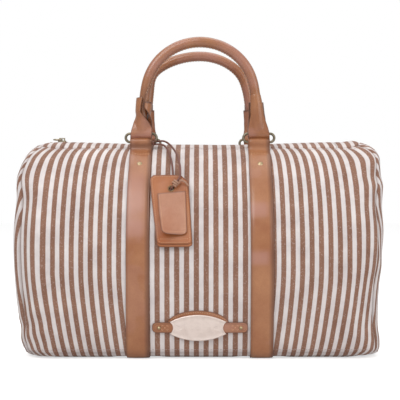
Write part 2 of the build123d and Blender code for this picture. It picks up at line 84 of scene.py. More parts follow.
# The two ends of the bag, each worn to its own shape, as (distance from the middle, z).
LEFT_END = [
    (0.2280, 0.2872), (0.2365, 0.2802), (0.2435, 0.2700), (0.2492, 0.2530), (0.2515, 0.2390),
    (0.2500, 0.2250), (0.2478, 0.2080), (0.2488, 0.1650), (0.2478, 0.1200), (0.2446, 0.0700),
    (0.2415, 0.0330), (0.2392, 0.0160), (0.2355, 0.0060), (0.2290, 0.0030), (0.2150, BASE_Z),
]
RIGHT_END = [
    (0.2280, 0.2905), (0.2390, 0.2860), (0.2465, 0.2780), (0.2498, 0.2680), (0.2488, 0.2540),
    (0.2480, 0.2420), (0.2495, 0.2290), (0.2476, 0.2160), (0.2458, 0.1980), (0.2465, 0.1650),
    (0.2445, 0.1300), (0.2402, 0.1000), (0.2388, 0.0700), (0.2395, 0.0400), (0.2415, 0.0220),
    (0.2408, 0.0080), (0.2350, 0.0032), (0.2200, BASE_Z),
]

# ---- lace route, the CAD's corner points ----
LACE_ROUTE = [
    (-0.0627, -0.05105, 0.2857), (-0.0532, -0.0512, 0.2862), (-0.0465, -0.0585, 0.2815),
    (-0.0420, -0.0685, 0.2730), (-0.0380, -0.0800, 0.2598), (-0.0358, -0.0925, 0.2435),
    (-0.0363, -0.1008, 0.2322), (-0.0377, -0.1069, 0.2222), (-0.0377, -0.11602, 0.22445),
    (-0.0260, -0.1146, 0.2368), (-0.0255, -0.1040, 0.2485), (-0.0275, -0.0900, 0.2595),
    (-0.0315, -0.0765, 0.2715), (-0.0385, -0.0640, 0.2820), (-0.0465, -0.0545, 0.2890),
    (-0.0542, -0.0492, 0.2908), (-0.0627, -0.0496, 0.2885),
]
LACE_DIAMETER = 0.0026


# ---- camera ----
def make_camera():
    data = bpy.data.cameras.new("camera")
    data.lens = 72
    data.sensor_width = 36
    camera = bpy.data.objects.new("camera", data)
    camera.location = (0, -1.155, 0.2087)
    camera.rotation_euler = (math.radians(90), 0, 0)
    bpy.context.scene.collection.objects.link(camera)
    bpy.context.scene.camera = camera


make_camera()


# ---- small maths ----
def smooth(low, high, value):
    """Smooth step from 0 at low to 1 at high, for numbers and arrays."""
    t = np.clip((value - low) / (high - low), 0, 1)
    return t * t * (3 - 2 * t)


def bell(value, middle, width, power=2):
    """1 at the middle, falling to nothing on both sides."""
    return math.exp(-((value - middle) / width) ** power)


def lengths_along(points):
    """Distance of each point of a polyline from its first one."""
    steps = np.linalg.norm(np.diff(points, axis=0), axis=1)
    return np.concatenate([[0], np.cumsum(steps)])


def directions(line):
    """Unit vectors along a line."""
    step = np.gradient(line, axis=0)
    return step / np.linalg.norm(step, axis=1, keepdims=True)


def ellipse(half_a, half_b, count):
    turns = np.linspace(0, 2 * math.pi, count, endpoint=False)
    return [(half_a * math.cos(t), half_b * math.sin(t)) for t in turns]


def resample(points, count):
    """count points evenly spaced along a polyline."""
    points = np.array(points, float)
    along = lengths_along(points)
    wanted = np.linspace(0, along[-1], count)
    return np.stack([np.interp(wanted, along, points[:, k]) for k in range(points.shape[1])], 1)


def spline(points, per_span=12):
    """Catmull-Rom curve through the points."""
    p = np.array(points, float)
    p = np.vstack([2 * p[0] - p[1], p, 2 * p[-1] - p[-2]])
    result = []
    for k in range(1, len(p) - 2):
        for t in np.linspace(0, 1, per_span, endpoint=False):
            a, b, c, d = p[k - 1], p[k], p[k + 1], p[k + 2]
            result.append(
                0.5 * (2 * b + (c - a) * t + (2 * a - 5 * b + 4 * c - d) * t**2
                       + (3 * b - a - 3 * c + d) * t**3)
            )
    result.append(p[-2])
    return np.array(result)


def arc_points(centre, radius, start, end, count=40):
    angles = np.radians(np.linspace(start, end, count))
    return np.stack([centre[0] + radius * np.cos(angles), centre[1] + radius * np.sin(angles)], 1)


def grain(x, y, z):
    """Smooth noise between -1 and 1 at a place."""
    return noise.noise(Vector((x, y, z)))


def unit(v):
    v = np.array(v, float)
    return v / np.linalg.norm(v)


# ---- meshes ----
def add_mesh(name, points, faces, *materials, flip=False, **attributes):
    """Smooth mesh. flip turns the faces over; each attribute holds one value for each point."""
    if flip:
        faces = [tuple(reversed(f)) for f in faces]
    mesh = bpy.data.meshes.new(name)
    mesh.from_pydata([tuple(map(float, p)) for p in points], [], faces)
    mesh.update()
    mesh.shade_smooth()
    for material in materials:
        mesh.materials.append(material)
    for key, values in attributes.items():
        attribute = mesh.attributes.new(key, "FLOAT", "POINT")
        attribute.data.foreach_set("value", np.array(values, np.float32).ravel())
    piece = bpy.data.objects.new(name, mesh)
    bpy.context.scene.collection.objects.link(piece)
    return piece


def grid_faces(rows, columns, wrap=False):
    last = columns if wrap else columns - 1
    return [
        (r * columns + c, r * columns + (c + 1) % columns,
         (r + 1) * columns + (c + 1) % columns, (r + 1) * columns + c)
        for r in range(rows - 1)
        for c in range(last)
    ]


def tube_faces(rings, sides):
    """Faces of a tube of rings, with both ends closed."""
    ends = [tuple(reversed(range(sides))), tuple(range((rings - 1) * sides, rings * sides))]
    return grid_faces(rings, sides, wrap=True) + ends


def stripes_at(distance):
    """Number of stripe pitches from the front's middle to a distance along the cloth."""
    size = np.abs(distance)
    middle = np.minimum(size, STRIPE_CHANGE) / STRIPE_PITCH_MIDDLE
    return np.sign(distance) * (middle + np.maximum(size - STRIPE_CHANGE, 0) / STRIPE_PITCH_SIDE)


def set_uv(piece, per_vertex):
    """Cloth coordinates: stripe pitches across, metres along."""
    layer = piece.data.uv_layers.new(name="cloth")
    loops = np.zeros(len(piece.data.loops), np.int32)
    piece.data.loops.foreach_get("vertex_index", loops)
    layer.data.foreach_set("uv", np.array(per_vertex, np.float32)[loops].ravel())
    return layer


def add_modifier(piece, name, kind, **values):
    modifier = piece.modifiers.new(name, kind)
    for key, value in values.items():
        setattr(modifier, key, value)
    return modifier


def place(piece, body, slot, *nodes):
    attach(piece, body)
    if nodes:
        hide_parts(*nodes)
    return piece


def swept(name, centres, sides, ups, sections, material, **attributes):
    """Mesh swept along centres. sections holds (side, up) offsets; sides and ups are unit vectors."""
    points = []
    for centre, side, up, section in zip(centres, sides, ups, sections):
        points += [centre + side * a + up * b for a, b in section]
    faces = tube_faces(len(centres), len(sections[0]))
    return add_mesh(name, points, faces, material, flip=True, **attributes)


def stitches(name, runs, measures, body, material=None, slot="tan_leather"):
    """Short rounded bars of thread along runs of (points, normals). measures is pitch, length, width."""
    pitch, length, width = measures
    points, faces = [], []
    for line, normals in runs:
        line, normals = np.array(line, float), np.array(normals, float)
        along = lengths_along(line)
        count = max(1, int(along[-1] / pitch))

        def at(values, distance):
            return np.array([np.interp(distance, along, values[:, i]) for i in range(3)])

        for k in range(count):
            middle = (k + 0.5) * along[-1] / count
            a, b = at(line, middle - length / 2), at(line, middle + length / 2)
            n = unit(at(normals, middle))
            side = unit(np.cross(unit(b - a), n))
            first = len(points)
            for t, grow in ((0, 0.35), (0.18, 0.9), (0.5, 1.0), (0.82, 0.9), (1, 0.35)):
                centre = a + (b - a) * t + n * (0.28 * width * (grow - 0.9))
                radius = width * grow / 2
                points += [centre + side * s + n * u for s, u in ellipse(radius, radius, 6)]
            faces += [tuple(first + v for v in face) for face in tube_faces(5, 6)]
    return place(add_mesh(name, points, faces, material or thread), body, slot)


# ---- materials ----
class Nodes:
    """Short way to add shader nodes and join them."""

    def __init__(self, name):
        self.material = bpy.data.materials.new(name)
        self.material.use_nodes = True
        self.tree = self.material.node_tree
        self.shader = self.tree.nodes["Principled BSDF"]

    def add(self, kind, **values):
        node = self.tree.nodes.new(kind)
        for key, value in values.items():
            setattr(node, key, value)
        return node

    def link(self, source, target):
        self.tree.links.new(source, target)

    def set(self, **values):
        for key, value in values.items():
            self.shader.inputs[key.replace("_", " ")].default_value = value

    def feed(self, socket, value):
        """Puts a number, a hex colour or another node's output on a socket."""
        if isinstance(value, str):
            socket.default_value = (*linear(value), 1)
        elif isinstance(value, (int, float)):
            socket.default_value = value
        else:
            self.link(value, socket)

    def math(self, operation, *values):
        node = self.add("ShaderNodeMath", operation=operation)
        for socket, value in zip(node.inputs, values):
            self.feed(socket, value)
        return node.outputs[0]

    def plus(self, a, b):
        return self.math("ADD", a, b)

    def minus(self, a, b):
        return self.math("SUBTRACT", a, b)

    def times(self, a, b):
        return self.math("MULTIPLY", a, b)

    def noise(self, scale, detail=3.0, roughness=0.5):
        node = self.add("ShaderNodeTexNoise")
        self.link(self.place(), node.inputs["Vector"])
        for key, value in (("Scale", scale), ("Detail", detail), ("Roughness", roughness)):
            node.inputs[key].default_value = value
        return node.outputs["Fac"]

    def cells(self, scale):
        node = self.add("ShaderNodeTexVoronoi")
        self.link(self.place(), node.inputs["Vector"])
        node.inputs["Scale"].default_value = scale
        return node.outputs["Distance"]

    def place(self):
        if not hasattr(self, "_place"):
            self._place = self.add("ShaderNodeTexCoord").outputs["Object"]
        return self._place

    def attribute(self, name):
        return self.add("ShaderNodeAttribute", attribute_name=name).outputs["Fac"]

    def mix(self, factor, a, b):
        node = self.add("ShaderNodeMix", data_type="RGBA")
        for socket, value in zip((node.inputs[0], node.inputs[6], node.inputs[7]), (factor, a, b)):
            self.feed(socket, value)
        return node.outputs[2]

    def ramp(self, source, *stops):
        node = self.add("ShaderNodeMapRange", clamp=True)
        self.link(source, node.inputs[0])
        for socket, value in zip(node.inputs[1:5], stops):
            socket.default_value = value
        return node.outputs[0]

    def bump(self, height, distance, strength, before=None):
        node = self.add("ShaderNodeBump")
        node.inputs["Distance"].default_value = distance
        node.inputs["Strength"].default_value = strength
        self.link(height, node.inputs["Height"])
        if before is not None:
            self.link(before, node.inputs["Normal"])
        return node.outputs[0]


def linear(text):
    """Linear colour from a hex one."""
    values = [int(text[k:k + 2], 16) / 255 for k in (0, 2, 4)]
    return tuple(v / 12.92 if v <= 0.04045 else ((v + 0.055) / 1.055) ** 2.4 for v in values)


def canvas_material():
    """Cotton canvas with woven vertical stripes. Its UV map holds stripe pitches and metres."""
    n = Nodes("striped_canvas")
    uv = n.add("ShaderNodeUVMap", uv_map="cloth").outputs[0]
    split = n.add("ShaderNodeSeparateXYZ")
    n.link(uv, split.inputs[0])
    across, along = split.outputs[0], split.outputs[1]
    wobble = n.times(n.minus(n.noise(60, 2), 0.5), 0.05)
    fray = n.times(n.minus(n.noise(1400, 1), 0.5), 0.04)
    shifted = n.plus(n.plus(across, wobble), fray)
    phase = n.math("FRACT", n.plus(shifted, 100.0 + STRIPE_OFFSET))
    distance = n.math("ABSOLUTE", n.minus(phase, 0.5))
    brown = n.ramp(distance, BROWN_SHARE / 2 - 0.025, BROWN_SHARE / 2 + 0.025, 1.0, 0.0)
    tone = n.noise(38, 4, 0.6)
    brown_colour = n.mix(n.ramp(tone, 0.3, 0.7, 0.0, 1.0), "825C4A", "9A725E")
    white_colour = n.mix(n.ramp(tone, 0.3, 0.7, 0.0, 1.0), "D6CDCC", "ECE5E3")
    colour = n.mix(brown, white_colour, brown_colour)
    warp = n.math("SINE", n.times(across, 2 * math.pi * THREADS_PER_STRIPE))
    weft = n.math("SINE", n.times(along, 2 * math.pi / WEFT_PITCH))
    weave = n.times(n.plus(n.times(warp, weft), 1.0), 0.5)
    slub = n.noise(520, 2)
    colour = n.mix(n.times(weave, 0.16), colour, "8A6A5E")
    colour = n.mix(n.ramp(slub, 0.55, 0.75, 0.0, 0.22), colour, "F4E9E2")
    # Painted shade: the canvas darkens in the end seams' grooves, along the top rim, in the foot crease and
    # where edges turn under.
    seam_shade = n.attribute("crease")
    colour = n.mix(n.times(seam_shade, 0.55), colour, "6E4F45")
    n.link(colour, n.shader.inputs["Base Color"])
    height = n.plus(n.times(weave, 0.6), n.times(slub, 0.4))
    soft = n.bump(n.noise(30, 4, 0.55), 0.0016, 0.5)
    n.link(n.bump(height, 0.00022, 0.8, soft), n.shader.inputs["Normal"])
    n.set(Roughness=0.86, Sheen_Weight=0.12, Sheen_Roughness=0.5, Specular_IOR_Level=0.25)
    return n.material


def leather_material(name, dark, light, blush, edge, gloss, coat):
    """Pebbled, finished leather. The attribute edge is 1 on cut and worn edges."""
    n = Nodes(name)
    cells = n.cells(720)
    fine = n.noise(1500, 2)
    broad = n.noise(24, 4, 0.6)
    patch = n.noise(9, 3, 0.5)
    tone = n.plus(n.times(broad, 0.6), n.times(patch, 0.4))
    colour = n.mix(n.ramp(tone, 0.36, 0.64, 0.0, 1.0), dark, light)
    mottle = n.minus(n.ramp(n.noise(14, 3, 0.55), 0.47, 0.62, 0.0, 0.8), n.attribute("even"))
    colour = n.mix(n.math("MAXIMUM", mottle, 0.0), colour, blush)
    colour = n.mix(n.ramp(cells, 0.0, 0.6, 0.16, 0.0), colour, edge)
    rim = n.attribute("edge")
    # Painted highlight: paler blush where the straps would show the lamps' gloss reflection.
    colour = n.mix(n.times(n.attribute("rubbed"), 0.7), colour, blush)
    # band: a darker stripe along one side of each strap, plus painted shadow at the front left strap's neck
    # and painted shade on the handles' undersides.
    colour = n.mix(n.times(n.attribute("band"), 0.5), colour, edge)
    colour = n.mix(n.times(rim, 0.75), colour, edge)
    n.link(colour, n.shader.inputs["Base Color"])
    rough = n.plus(n.ramp(patch, 0.35, 0.65, gloss - 0.06, gloss + 0.1),
                   n.times(rim, 0.15))
    n.link(rough, n.shader.inputs["Roughness"])
    height = n.plus(n.times(cells, 0.8), n.times(fine, 0.25))
    soft = n.bump(n.noise(55, 4, 0.6), 0.0011, 0.5)
    n.link(n.bump(height, 0.00016, 0.75, soft), n.shader.inputs["Normal"])
    n.set(Coat_Weight=coat, Coat_Roughness=0.22, Specular_IOR_Level=0.5)
    return n.material


def thread_material(name, dark, light):
    n = Nodes(name)
    twist = n.noise(2600, 2)
    n.link(n.mix(twist, dark, light), n.shader.inputs["Base Color"])
    n.link(n.bump(twist, 0.0002, 0.8), n.shader.inputs["Normal"])
    n.set(Roughness=0.6, Sheen_Weight=0.1)
    return n.material


def metal_material(name, colour, tarnish, rough, wear, metallic=1.0):
    """Plated metal with fine scratches and darker tarnish in patches."""
    n = Nodes(name)
    cloud = n.noise(90, 5, 0.65)
    streak = n.noise(1900, 2, 0.6)
    n.link(n.mix(n.ramp(cloud, 0.45, 0.75, 0.0, wear), colour, tarnish), n.shader.inputs["Base Color"])
    n.link(n.ramp(cloud, 0.3, 0.7, rough, rough + 0.16), n.shader.inputs["Roughness"])
    n.link(n.bump(streak, 0.00005, 0.4), n.shader.inputs["Normal"])
    n.set(Metallic=metallic)
    return n.material


def cloth_material(name, colour, shade, scale=1100):
    """Plain woven cloth for the lining, the zip tape and the board's cover."""
    n = Nodes(name)
    threads = n.noise(scale, 2)
    broad = n.noise(30, 3)
    mixed = n.mix(n.plus(n.times(threads, 0.6), n.times(broad, 0.4)),
                  colour, shade)
    n.link(mixed, n.shader.inputs["Base Color"])
    n.link(n.bump(threads, 0.0002, 0.7), n.shader.inputs["Normal"])
    n.set(Roughness=0.85, Sheen_Weight=0.1)
    return n.material


def floor_material():
    n = Nodes("studio_floor")
    seen = n.add("ShaderNodeLightPath").outputs["Is Camera Ray"]
    n.link(n.times(seen, 0.62), n.shader.inputs["Emission Strength"])
    n.set(Base_Color=(0.72, 0.72, 0.72, 1), Emission_Color=(1, 1, 1, 1))
    n.set(Roughness=0.9, Specular_IOR_Level=0.1)
    return n.material


canvas = canvas_material()
leather = leather_material(
    "tan_leather", "9A5D39", "B27A52", "B58272", "5A3525", 0.36, 0.35
)
handle_leather = leather_material(
    "handle_leather", "8B5233", "AD744B", "B07A6A", "553224", 0.3, 0.45
)
tag_leather = leather_material(
    "tag_leather", "A25A30", "B97445", "B87A5E", "63381F", 0.36, 0.3
)
flap_leather = leather_material(
    "flap_leather", "A86A4C", "BF8A6E", "C49684", "6F4532", 0.38, 0.3
)
lace_leather = leather_material(
    "lace_leather", "63392F", "80503F", "7A4E48", "4A2A20", 0.45, 0.15
)
# A paler copy of the lace's leather for the knot: painted highlights on its loops.
knot_leather_highlit = leather_material(
    "knot_leather_highlit", "80503C", "C0957A", "C9A48E", "4A2A20", 0.4, 0.2
)
thread = thread_material("waxed_thread", "B98460", "E2B58F")
cotton_thread = thread_material("cotton_thread", "9C8078", "C4B2AC")
ring_metal = metal_material("ring_metal", "8F8471", "544B3C", 0.3, 0.6)
zip_metal = metal_material("zip_metal", "B8AC94", "6B604C", 0.3, 0.5)
rivet_metal = metal_material("rivet_metal", "C9B48F", "80694A", 0.28, 0.4)
eyelet_metal = metal_material("eyelet_metal", "8A6E50", "4E3A29", 0.35, 0.6)
plate_metal = metal_material("plate_metal", "F3E3DA", "C4B0A6", 0.36, 0.35, 0.6)
lining_cloth = cloth_material("lining_cloth", "B79A7E", "8F745C")
tape_cloth = cloth_material("zip_cloth", "9A6E54", "7C543F", 1500)
board_cover = cloth_material("stiff_board", "6B5A4C", "54463B")
card_paper = cloth_material("card_paper", "EFE7DA", "E2D8C8", 700)


# ---- lace: the one free cord ----
def make_lace():
    data = bpy.data.curves.new("tag_lace_cord", "CURVE")
    data.dimensions = "3D"
    data.resolution_u = 16
    data.bevel_depth = LACE_DIAMETER / 2
    data.bevel_resolution = 5
    data.use_fill_caps = True
    line = data.splines.new("NURBS")
    line.points.add(len(LACE_ROUTE) - 1)
    for point, place_ in zip(line.points, LACE_ROUTE):
        point.co = (*place_, 1)
    line.order_u = 3
    line.use_endpoint_u = True
    data.materials.append(lace_leather)
    piece = bpy.data.objects.new("tag_lace_cord", data)
    bpy.context.scene.collection.objects.link(piece)
    return place(piece, "lace", "tan_leather", "tag_lace")


lace = make_lace()


# ---- shell of the bag ----
ROWS_UPPER, ROWS_MIDDLE, ROWS_FOOT, ROWS_BASE = 38, 46, 18, 14
SIDE_ROWS = ROWS_UPPER + ROWS_MIDDLE + ROWS_FOOT
ROWS = SIDE_ROWS + ROWS_BASE


def cut_at(points, z):
    """Splits a falling polyline where it passes height z."""
    points = np.array(points, float)
    k = int(np.argmax(points[:, 1] < z))
    a, b = points[k - 1], points[k]
    t = (z - a[1]) / (b[1] - a[1])
    middle = a + (b - a) * t
    return np.vstack([points[:k], middle]), np.vstack([middle, points[k:]])


def profile_rows(points, base_end):
    """One (outwards, z) pair for each row of the shell, from the mouth seam to the middle of the base."""
    upper, rest = cut_at(points, JOIN_Z)
    middle, foot = cut_at(rest, FOOT_Z)
    base = [foot[-1], (base_end, BASE_Z)]
    return np.vstack([
        resample(upper, ROWS_UPPER + 1)[:-1],
        resample(middle, ROWS_MIDDLE + 1)[:-1],
        resample(foot, ROWS_FOOT + 1)[:-1],
        resample(base, ROWS_BASE),
    ])


shoulder = 42.07
lower_end = -13.4
mouth_angle = math.degrees(math.acos(MOUTH_SEAM_Y / TOP_RADIUS))
side_line = np.vstack([
    arc_points(TOP_CENTRE, TOP_RADIUS, mouth_angle, shoulder),
    arc_points(UPPER_CENTRE, UPPER_RADIUS, shoulder, 0)[1:],
    arc_points(LOWER_CENTRE, LOWER_RADIUS, 0, lower_end)[1:],
    arc_points(CORNER_CENTRE, CORNER_RADIUS, lower_end, -90)[1:],
])
side_rows = profile_rows(side_line, 0.003)
left_rows = profile_rows(spline(LEFT_END), 0.10)
right_rows = profile_rows(spline(RIGHT_END), 0.10)
row_along = lengths_along(side_rows)
plan_radius = np.interp(
    np.arange(ROWS),
    [0, ROWS_UPPER, ROWS_UPPER + ROWS_MIDDLE, SIDE_ROWS, ROWS - 1],
    [PLAN_RADIUS_TOP, PLAN_RADIUS, PLAN_RADIUS, 0.032, 0.0025],
)
QUARTER = (HALF_LENGTH - PLAN_RADIUS) + math.pi / 2 * PLAN_RADIUS + (HALF_DEPTH - PLAN_RADIUS)
COLUMN_S = np.concatenate([
    np.linspace(0, FLAT_REACH, 58)[:-1],
    np.linspace(FLAT_REACH, END_SEAM, 12)[:-1],
    np.linspace(END_SEAM, QUARTER, 36),
])


def ring_place(s, row, end_rows):
    """Plan place and height of the cloth at distance s from the front's middle, one quarter of a ring."""
    depth, side_z = side_rows[row]
    length, end_z = end_rows[row]
    radius = min(plan_radius[row], depth - 0.0004)
    full = (length - radius) + math.pi / 2 * radius + (depth - radius)
    pull = GATHER * smooth(*GATHER_ZONE, s) * np.exp(-row_along[row] / GATHER_FADE)
    corner = np.interp(row, [0, ROWS_UPPER], [0.84, 0.83])
    seam = (length - radius) + radius * corner
    front_end = min(FLAT_REACH, length - radius - 0.002)
    knots_s = [0, front_end, END_SEAM, QUARTER]
    knots_q = [0, front_end, seam + GATHER * math.exp(-row_along[row] / GATHER_FADE), full]
    q = np.interp(s, knots_s, knots_q) - pull * (1 - smooth(END_SEAM, QUARTER, s))
    straight = length - radius
    angle = np.clip((q - straight) / radius, 0, math.pi / 2)
    past = np.maximum(q - straight - math.pi / 2 * radius, 0)
    x = np.where(q < straight, q, straight + radius * np.sin(angle))
    y = (depth - radius) + radius * np.cos(angle) - past
    weight = np.sin(angle) ** 2
    return x, y, side_z * (1 - weight) + end_z * weight, q, full


def wrinkle(x, y, z, s, d):
    """How far the cloth stands out at a point: slack, puckers by the gathered seam, and end folds."""
    front = 1 - smooth(0.21, 0.245, abs(x))
    near_strap = smooth(0.020, 0.040, abs(abs(x) - STRAP_X))
    if abs(x) > 0.14:
        near_strap = 1.0
    beside_plate = abs(x - PLATE_CENTRE[0])
    if y < 0 and beside_plate < 0.08 and z < 0.085:
        near_strap *= 1 - (1 - smooth(0.064, 0.078, beside_plate)) * (1 - smooth(0.066, 0.082, z))
    slack = grain(x * 9, y * 9, z * 5) * 0.0016
    slack += grain(x * 26 + 7, y * 22, z * 9) * 0.0007
    pucker_zone = smooth(0.05, 0.075, abs(x)) * math.exp(-d / 0.016)
    pucker = math.sin(s * 2 * math.pi / 0.0125 + 2 * grain(x * 20, 3, 5)) * 0.0008
    fold = 0.0
    if x < -0.19:
        above_foot = smooth(0.03, 0.08, z)
        fold += 0.0022 * math.sin((abs(s) - 0.2) * 150) * above_foot * (1 - smooth(0.2, 0.26, z))
        fold += 0.0007 * math.sin(z * 210 + abs(s) * 60) * (1 - above_foot)
    if x > 0.19:
        crest = bell(x - 0.236, (0.2 - z) * 0.10, 0.006)
        fold -= 0.0030 * crest * smooth(0.11, 0.15, z) * (1 - smooth(0.23, 0.27, z))
    belly = 0.0012 * bell(z, 0.028, 0.016) * front
    edge = smooth(0, 0.006, d)
    return (slack + belly) * near_strap * edge + pucker * pucker_zone * near_strap + fold * edge


def sewn_rings():
    """The unworn shell: its points, its cloth coordinates, and how each point lies to the end seam.

    The last is (distance from the front's middle, gap to the seam, distance from the end's middle).
    """
    points, uvs, seams = [], [], []
    quarters = [(1, -1, right_rows), (1, 1, right_rows), (-1, 1, left_rows), (-1, -1, left_rows)]
    count = len(COLUMN_S)
    order = []
    for index, (side_x, side_y, end_rows) in enumerate(quarters):
        columns = range(count) if index % 2 == 0 else range(count - 1, -1, -1)
        order += [(side_x, side_y, end_rows, c) for c in list(columns)[:-1]]
    for row in range(ROWS):
        cache = {}
        for side_x, side_y, end_rows, c in order:
            if side_x not in cache:
                cache[side_x] = ring_place(COLUMN_S, row, end_rows)
            x, y, z, q, full = (v if np.isscalar(v) else v[c] for v in cache[side_x])
            points.append([side_x * x, side_y * y, z])
            s = COLUMN_S[c]
            spread = 0.62 * smooth(0.062, 0.097, s) + 0.38 * smooth(0.097, 0.22, s)
            taken_in = FOOT_GATHER * spread * max(0.0, 1 - z / 0.115) ** 1.5
            uvs.append((stripes_at(side_x * (s + taken_in)), row_along[row]))
            seam_gap = abs(q - np.interp(END_SEAM, COLUMN_S, cache[side_x][3]))
            seams.append((s, seam_gap, side_x * (full - q)))
    return np.array(points).reshape(ROWS, len(order), 3), uvs, seams


def make_shell():
    """One sewn canvas shell: front, back, base and both ends, open along the zip strip."""
    shell, uvs, seams = sewn_rings()
    ring_size = shell.shape[1]
    across = np.roll(shell, -1, 1) - np.roll(shell, 1, 1)
    normals = np.cross(np.gradient(shell, axis=0), across)
    normals /= np.linalg.norm(normals, axis=2, keepdims=True) + 1e-12
    middle = np.array([0, 0, 0.14])
    inwards = np.sum(normals * (shell - middle), axis=2, keepdims=True) < 0
    normals = np.where(inwards, -normals, normals)
    moved = shell.reshape(-1, 3).copy()
    crease = []
    for k, (p, n) in enumerate(zip(shell.reshape(-1, 3), normals.reshape(-1, 3))):
        row = k // ring_size
        s, seam_gap = seams[k][:2]
        d = row_along[row]
        out = wrinkle(*p, s, d) if row < SIDE_ROWS else 0.0
        groove = bell(seam_gap, 0, 0.0016) if row < SIDE_ROWS else 0.0
        rim = math.exp(-d / 0.0018)
        foot = bell(p[2], 0.0085, 0.0014) if p[2] < 0.02 else 0.0
        out -= 0.0013 * groove + 0.0009 * rim + 0.0008 * foot
        out += 0.0006 * bell(seam_gap, 0.0042, 0.002)
        # Painted shade in the end seam's groove, along the rim and in the foot crease.
        crease.append(min(1.0, 0.9 * groove + 0.2 * rim + 0.5 * foot))
        moved[k] = p + n * out
        if row >= SIDE_ROWS:
            moved[k][2] = BASE_Z - 0.0012 * smooth(0.022, 0.04, abs(abs(p[0]) - STRAP_X))
    faces = grid_faces(ROWS, ring_size, wrap=True)
    shell_piece = add_mesh("canvas_body", moved, faces, canvas, flip=True, crease=crease)
    layer = set_uv(shell_piece, uvs)
    for polygon in shell_piece.data.polygons:
        if max(seams[v][0] for v in polygon.vertices) > END_SEAM + 1e-6:
            for loop_index in polygon.loop_indices:
                v = shell_piece.data.loops[loop_index].vertex_index
                layer.data[loop_index].uv = (0.25 + seams[v][2] / STRIPE_PITCH_SIDE, uvs[v][1])
    return shell_piece, moved.reshape(ROWS, ring_size, 3), normals


shell, shell_grid, shell_normals = make_shell()
shell_columns = shell_grid.shape[1]
CANVAS_NODES = [
    "main_panel_front", "main_panel_back", "base_panel", "end_panel_left", "end_panel_right",
]
place(shell, "bag", "striped_canvas", *CANVAS_NODES)


def make_lining():
    """Inner bag, a little inside the canvas, turned to face inwards."""
    inner = shell_grid - shell_normals * LINING_GAP
    inner[SIDE_ROWS:, :, 2] = BASE_Z + LINING_GAP
    faces = grid_faces(ROWS, shell_columns, wrap=True)
    piece = add_mesh("lining_bag", inner.reshape(-1, 3), faces, lining_cloth)
    return place(piece, "bag", "lining_cloth", "lining")


make_lining()


# ---- the strip along the zip: two gussets, two plain ends, tapes and teeth ----
MOUTH_BODY = {-1: "mouth_front", 1: "mouth_back"}
GUSSET_OUTER_Y = 0.0463
GUSSET_FLAT = (0.0435, 0.0105)
GUSSET_INNER_Y = 0.0084
TAPE_DROP = 0.0026
TAPE_BEAD_Y = 0.0012
TAPE_BEAD = 0.0007
TOOTH_PITCH = 0.005
TOOTH_COUNT = 75
TOOTH_DROP = 0.0019
TOOTH_HALF_LENGTH = 0.00095
TOOTH_MIDDLE_Y = 0.00115
TOOTH_REACH = (-0.0009, 0.0032)
CROWN_START = 0.197
CROWN_LOW_Z = 0.234
CROWN_RADIUS = 0.058


def strip_z(y):
    return TOP_CENTRE[1] + math.sqrt(TOP_RADIUS**2 - y * y)


def sag(x, y):
    """How far the middle of the zip strip hangs down between the handles."""
    along = max(0.0, 1 - (x / 0.185) ** 2)
    across = max(0.0, 1 - (y / MOUTH_SEAM_Y) ** 2)
    return TOP_SAG * along**1.5 * across


def strip_stripes(x):
    """Stripe number over the zip strip, so that the stripes meet the gathered panels at the seam."""
    s = abs(x)
    for _ in range(6):
        s = abs(x) + GATHER * smooth(*GATHER_ZONE, s)
    return math.copysign(stripes_at(s), x)


def canvas_strip(name, faces, cloth, flip, body, node):
    """Strip of lined canvas. cloth is its points, cloth coordinates and painted crease shade."""
    points, uvs, crease = cloth
    piece = add_mesh(name, points, faces, canvas, lining_cloth, flip=flip, crease=crease)
    set_uv(piece, uvs)
    add_modifier(piece, "cloth_thickness", "SOLIDIFY", thickness=0.0010, offset=-1, material_offset=1)
    return place(piece, body, "striped_canvas", node)


def make_gusset(side, name, node):
    """Canvas between the seam and the zip, with both long edges turned under."""
    xs = np.linspace(-MOUTH_HALF_LENGTH, MOUTH_HALF_LENGTH, 120)
    section = [(GUSSET_OUTER_Y, -0.0022), (0.0462, -0.0010), (0.0452, -0.0002)]
    section += [(y, 0.0) for y in np.linspace(*GUSSET_FLAT, 13)]
    section += [(0.0092, -0.0001), (GUSSET_INNER_Y, -0.0007), (GUSSET_INNER_Y, -0.0014), (0.0100, -0.0020)]
    points, uvs, crease = [], [], []
    for y, drop in section:
        for x in xs:
            slack = grain(x * 14, y * 30 + side, 2) * 0.0009
            slack += math.sin(x * 2 * math.pi / 0.013) * 0.0004 * math.exp(-(MOUTH_SEAM_Y - y) / 0.012)
            edge = smooth(GUSSET_INNER_Y, 0.013, y) * (1 - smooth(GUSSET_FLAT[0], GUSSET_OUTER_Y, y))
            stitched = bell(y, 0.0112, 0.0012) * 0.0005
            points.append((x, side * y, strip_z(y) - sag(x, y) + drop + slack * edge - stitched))
            uvs.append((strip_stripes(x), y))
            # Painted shade where the edge turns under.
            crease.append(max(0.0, min(1.0, -drop / 0.0016)))
    faces = grid_faces(len(section), len(xs))
    return canvas_strip(name, faces, (points, uvs, crease), side > 0, MOUTH_BODY[side], node)


def crown_z(x):
    """Height of the arched end of the zip strip at its middle."""
    return CROWN_LOW_Z + math.sqrt(CROWN_RADIUS**2 - (x - CROWN_START) ** 2)


